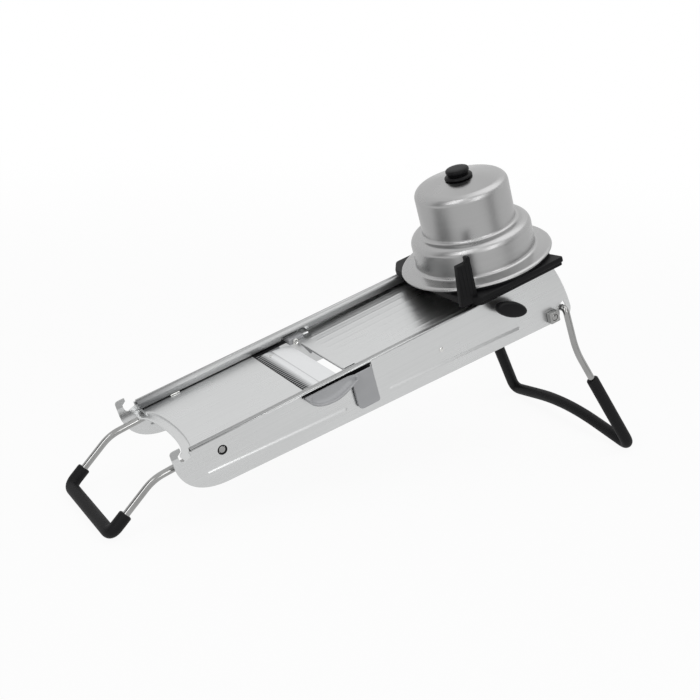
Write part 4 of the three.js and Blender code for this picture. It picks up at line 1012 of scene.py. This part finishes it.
def plan_reach(angle, outline):
    """How far the carriage's outline lies from its middle in one direction."""
    way = Vector((cos(angle), sin(angle)))
    points = [Vector((u - DOME_U, v)) for u, v in outline]
    for a, b in zip(points, points[1:] + points[:1]):
        side_a, side_b = way.x * a.y - way.y * a.x, way.x * b.y - way.y * b.x
        if side_a * side_b <= 0 and side_a != side_b:
            met = a.lerp(b, side_a / (side_a - side_b))
            if met.dot(way) > 0:
                return met.length
    return CORNER_REACH


def round_dome(radius, sides=128):
    """Points of a circle about the dome's axis."""
    return [(DOME_U + x, y) for x, y in circle(radius, sides)]


def carriage():
    """The moulding, level by level."""
    form = Form()
    for amount, levels, edge in ((LOWER_INSET, LOWER_N, 0.7), (0, UPPER_N, 0.9)):
        slab(form, carriage_plan(amount), *levels, edge=edge, holes=[round_dome(CARRIAGE_OPENING)])
    outline = carriage_plan(0)
    seat = []
    for angle in (2 * pi * k / 180 for k in range(180)):
        reach = min(SEAT_RING[1], plan_reach(angle, outline) - 0.4)
        seat.append((DOME_U + reach * cos(angle), reach * sin(angle)))
    slab(form, seat, UPPER_N[1] - 0.3, SEAT_TOP_N, edge=0.5, holes=[round_dome(SEAT_RING[0])])
    for turn in (1, -1):
        def there(u):
            return u if turn > 0 else 2 * DOME_U - u

        (low, high), (inner, outer) = RUNNER_U, RUNNER_V
        runner = ((low, outer), (high, outer), (high, inner), (low, inner))
        runner = rounded_corners([(there(u), -turn * v, 1) for u, v in runner], steps=3)
        slab(form, runner, *RUNNER_N, edge=0.5)
        post = rounded_corners([(there(u), n, 0.9) for u, n in POST], steps=4)
        slab(form, post, *sorted(turn * v for v in POST_V), edge=0.6, view="side")
        low, high = POST_RIB_N
        levels = sorted(turn * (POST_V[0] + out) for out in (0.3, -0.28))
        for u in POST_RIB_U:
            strip = pill((there(u), low), (there(u) + turn * 0.6, high), 0.55, 5)
            slab(form, strip, *levels, edge=0.25, view="side", steps=2)
    return form


make("carriage_frame.moulded", carriage(), black_abs, "carriage")

# The dome is spun from one disc of stainless sheet in two steps, and its rim is rolled under.
# It holds the food down, and seats on the carriage's ring.
DOME_SHEET = 1.2
DOME_SEGMENTS = 192

# Stainless steel, spun on a chuck and polished against a wheel as it turns. The eye sees a
# grey satin that stretches each light into an upright streak. The real marks are 0.05 mm
# apart, and are drawn 0.5 mm apart so that they show.
SPIN_MARK = 0.5
spun_stainless, tree, place = new_material("spun_stainless_sheet")
centred = add(tree, "VectorMath", {0: place, 1: (-DOME_U * MM, 0, 0)})
flattened = add(tree, "VectorMath", {0: centred, 1: (1, 1, 0)}, operation="MULTIPLY")
radius = add(tree, "VectorMath", {0: flattened}, operation="LENGTH")
level = add(tree, "SeparateXYZ", {"Vector": centred}).outputs["Z"]
section = add(tree, "CombineXYZ", {"X": radius, "Z": level})
marks = add(tree, "TexNoise", {"Vector": section, "Scale": 1 / (SPIN_MARK * MM), "Detail": 3})
cloud = add(tree, "TexNoise", {"Vector": place, "Scale": 28, "Detail": 2})
tone = add(tree, "Mix", {"Factor": marks, "A": "#A3A3A3", "B": "#ADADAD"}, data_type="RGBA")
round_way = add(tree, "Tangent", direction_type="RADIAL", axis="Z")
finish(tree, tone, cloud, (0.24, 0.32), marks, (0.1, 0.02),
       {"Metallic": 1, "Anisotropic": 0.8, "Tangent": round_way})


def dome_profile(amount):
    """The dome's outline from the hole in its crown to its flange, drawn in by an amount."""
    points = [(6, 88 - amount), (21, 87.25 - amount)]
    points += arc((33.9, 77), 8 - amount, 78, 0, 12)
    points += arc((45.1, 46.2), 3.2 + amount, 180, 270, 8)
    points += arc((46.2, 35), 8 - amount, 90, 0, 14)
    return points + arc((57.4, 17.9), 3.2 + amount, 180, 262, 8)


def dome():
    """The spun sheet with its rolled rim."""
    rim = [(65.4, 13.55), (66.4, 13.4), (67.4, 12.9), (68.1, 12.2), (68.4, 11.4), (68.2, 10.8),
           (67.6, 10.5), (66.6, 10.5), (66.1, 11), (65.4, 12)]
    profile = dome_profile(0) + rim + dome_profile(DOME_SHEET)[::-1]
    return turned(Form(), profile, (DOME_U, 0), sides=DOME_SEGMENTS)


make("dome_shell.spun", dome(), spun_stainless, "dome", crease=50)

# The collar is a black plastic bush pressed into the crown's hole. It guides the shaft.
COLLAR = ((4.25, 84.2), (5.3, 84.2), (5.7, 84.6), (5.7, 88.25), (11.9, 88.25), (12.4, 88.6), (12.4, 89.3),
          (12.2, 89.8), (11.2, 90.7), (10.7, 90.9), (4.6, 90.9), (4.25, 90.6))
make("dome_collar.moulded", turned(Form(), COLLAR, (DOME_U, 0), sides=96), black_abs, "dome")

# The plunger presses the food down: a black plastic knob on a polished stainless shaft, which
# carries a round plate with ten prongs, held by a hexagonal nut.
PLUNGER_KNOB = ((4.3, 91.2), (8.6, 91.2), (9.2, 91.4), (9.3, 92.3), (10, 93.2), (10.4, 93.8), (10.4, 95),
                (10.25, 95.7), (9.8, 96.2), (9.1, 96.55), (5, 96.7), (0, 96.75), (0, 94.8), (4.3, 94.8))
SHAFT = ((0, 11.75), (3.4, 11.75), (4, 12.3), (4, 94), (3.5, 94.5), (0, 94.5))
PLATE = ((4.3, 16), (37.3, 16), (38, 16.6), (38, 18.4), (37.3, 19), (4.3, 19))
PRONG = ((0, 16.3), (1.8, 16.3), (1.4, 15.6), (0.75, 10), (0.35, 7.5), (0, 7.3))
PRONGS, PRONG_RING = 10, 27
NUT_REACH, NUT_BORE, NUT_N = 8, 4.2, (11.7, 15.7)

knob = turned(Form(), PLUNGER_KNOB, (DOME_U, 0), sides=96)
make("plunger_knob.moulded", knob, black_abs, "plunger")
make("plunger_shaft.polished", turned(Form(), SHAFT, (DOME_U, 0)), polished_wire, "plunger")
plate = turned(Form(), PLATE, (DOME_U, 0), sides=128)
for centre in round_dome(PRONG_RING, PRONGS):
    turned(plate, PRONG, centre, sides=20)
make("prong_plate.pressed", plate, brushed_stainless, "plunger")
nut = slab(Form(), round_dome(NUT_REACH, 6), *NUT_N, edge=0.4, holes=[round_dome(NUT_BORE, 32)])
make("prong_plate_nut.milled", nut, polished_wire, "plunger")

# The studio's floor is a wide sheet of matt white paper. It is pale near the slicer and fades
# into plain white far away.
FLOOR_LEVEL, FLOOR_REACH = -0.4, 30
FADE_FROM, FADE_TO = 0.4, 1.8
FLOOR_GLOW_NEAR = 0.93


def seen(tree):
    """1 for what the camera sees, straight, in a mirror or through glass, and 0 for lighting."""
    ray = add(tree, "LightPath").outputs
    found = add(tree, "Math", {0: ray["Is Camera Ray"], 1: ray["Is Glossy Ray"]}, operation="MAXIMUM")
    return add(tree, "Math", {0: found, 1: ray["Is Transmission Ray"]}, operation="MAXIMUM")


def stand(name, corners, material):
    """A flat sheet of four corners that belongs to the studio."""
    mesh = bpy.data.meshes.new(name)
    mesh.from_pydata(corners, [], [(0, 1, 2, 3)])
    mesh.materials.append(material)
    sheet = put(name, mesh)
    return sheet


studio_floor, tree, place = new_material("matt_white_paper")
distance = add(tree, "VectorMath", {0: place}, operation="LENGTH")
fade = {"Value": distance, "From Min": FADE_FROM, "From Max": FADE_TO, "To Min": FLOOR_GLOW_NEAR}
fade = add(tree, "MapRange", fade, interpolation_type="SMOOTHSTEP")
share = add(tree, "Math", {0: seen(tree), 1: fade}, operation="MULTIPLY")
fibres = add(tree, "TexNoise", {"Vector": place, "Scale": 900, "Detail": 3})
tone = add(tree, "Mix", {"Factor": fibres, "A": "#E6E6E6", "B": "#ECECEC"}, data_type="RGBA")
paper = add(tree, "BsdfDiffuse", {"Color": tone})
glow = add(tree, "Emission", {"Color": "#FFFFFF", "Strength": 1})
both = add(tree, "MixShader", {0: share, 1: paper, 2: glow})
add(tree, "OutputMaterial", {"Surface": both})
stand("studio_floor", [(x * FLOOR_REACH, y * FLOOR_REACH, FLOOR_LEVEL * MM)
                       for x, y in ((-1, -1), (1, -1), (1, 1), (-1, 1))], studio_floor)

# The room is white, to the eye and in the metal, and lights the table at half that level.
ROOM_LIGHT = 0.5
room = bpy.data.worlds.new("white_room")
bpy.context.scene.world = room
room.use_nodes = True
tree = room.node_tree
tree.nodes.clear()
level = add(tree, "MapRange", {"Value": seen(tree), "To Min": ROOM_LIGHT})
white = add(tree, "Background", {"Color": "#FFFFFF", "Strength": level})
add(tree, "OutputWorld", {"Surface": white})

# Screens of grey wool felt stand beside the table, unseen by the camera, so that bright metal
# shows dark streaks against the white room. The fibres are far finer, and are drawn 2 mm wide.
SCREENS = (("left_screen", -94, 1.1, (0.45, 1.3)), ("right_screen", 38, 1.1, (0.22, 1.3)))
FELT_FIBRE = 2
felt, tree, place = new_material("grey_wool_felt")
fibres = add(tree, "TexNoise", {"Vector": place, "Scale": 1 / (FELT_FIBRE * MM), "Detail": 2})
tone = add(tree, "Mix", {"Factor": fibres, "A": "#3A3A3B", "B": "#48484A"}, data_type="RGBA")
add(tree, "OutputMaterial", {"Surface": add(tree, "BsdfDiffuse", {"Color": tone})})


def toward(azimuth, elevation=0):
    """The way from the slicer that two angles give, the first counted from the near side."""
    a, e = radians(azimuth), radians(elevation)
    return Vector((sin(a) * cos(e), -cos(a) * cos(e), sin(e)))


for name, azimuth, distance, (wide, tall) in SCREENS:
    foot, side = toward(azimuth) * distance, toward(azimuth + 90) * wide / 2
    top = Vector((0, 0, tall))
    screen = stand(name, [foot - side, foot + side, foot + side + top, foot - side + top], felt)
    screen.visible_camera = screen.visible_shadow = screen.visible_diffuse = False

# Softboxes stand round the table: two tall narrow ones beside it, and a large one over it.
# Each is given by where it stands, its size and its light.
AIM = Vector((-8.73, -3.31, 107.76)) * MM
SOFTBOXES = (
    ("key", -62, 30, 1.8, (0.3, 1.4), 5.5),
    ("fill", 0, 24, 1.8, (0.3, 1.2), 4),
    ("top", 60, 68, 1.9, (1.8, 1.8), 9),
)

for name, azimuth, elevation, distance, size, power in SOFTBOXES:
    box = bpy.data.lights.new(name, "AREA")
    box.shape, box.size, box.size_y, box.energy = "RECTANGLE", size[0], size[1], power
    way = toward(azimuth, elevation)
    lamp = put(name, box)
    lamp.location = AIM + way * distance
    lamp.rotation_euler = way.to_track_quat("Z", "Y").to_euler()
    lamp.visible_camera = False

# The camera stands where the photograph was taken from.
EYE = Vector((-521.04, -890.79, 440.92)) * MM
LOOK = Vector((0.47544, 0.82363, -0.30918))
LENS, SENSOR, ROLL = 64.08, 36, 1.444
view = bpy.data.cameras.new("camera")
view.lens, view.sensor_width, view.clip_end = LENS, SENSOR, 100
camera = put("camera", view)
turn = LOOK.to_track_quat("-Z", "Y").to_matrix().to_4x4() @ Matrix.Rotation(radians(ROLL), 4, "Z")
camera.matrix_world = Matrix.Translation(EYE) @ turn
bpy.context.scene.camera = camera
bpy.context.scene.view_settings.view_transform = "Standard"
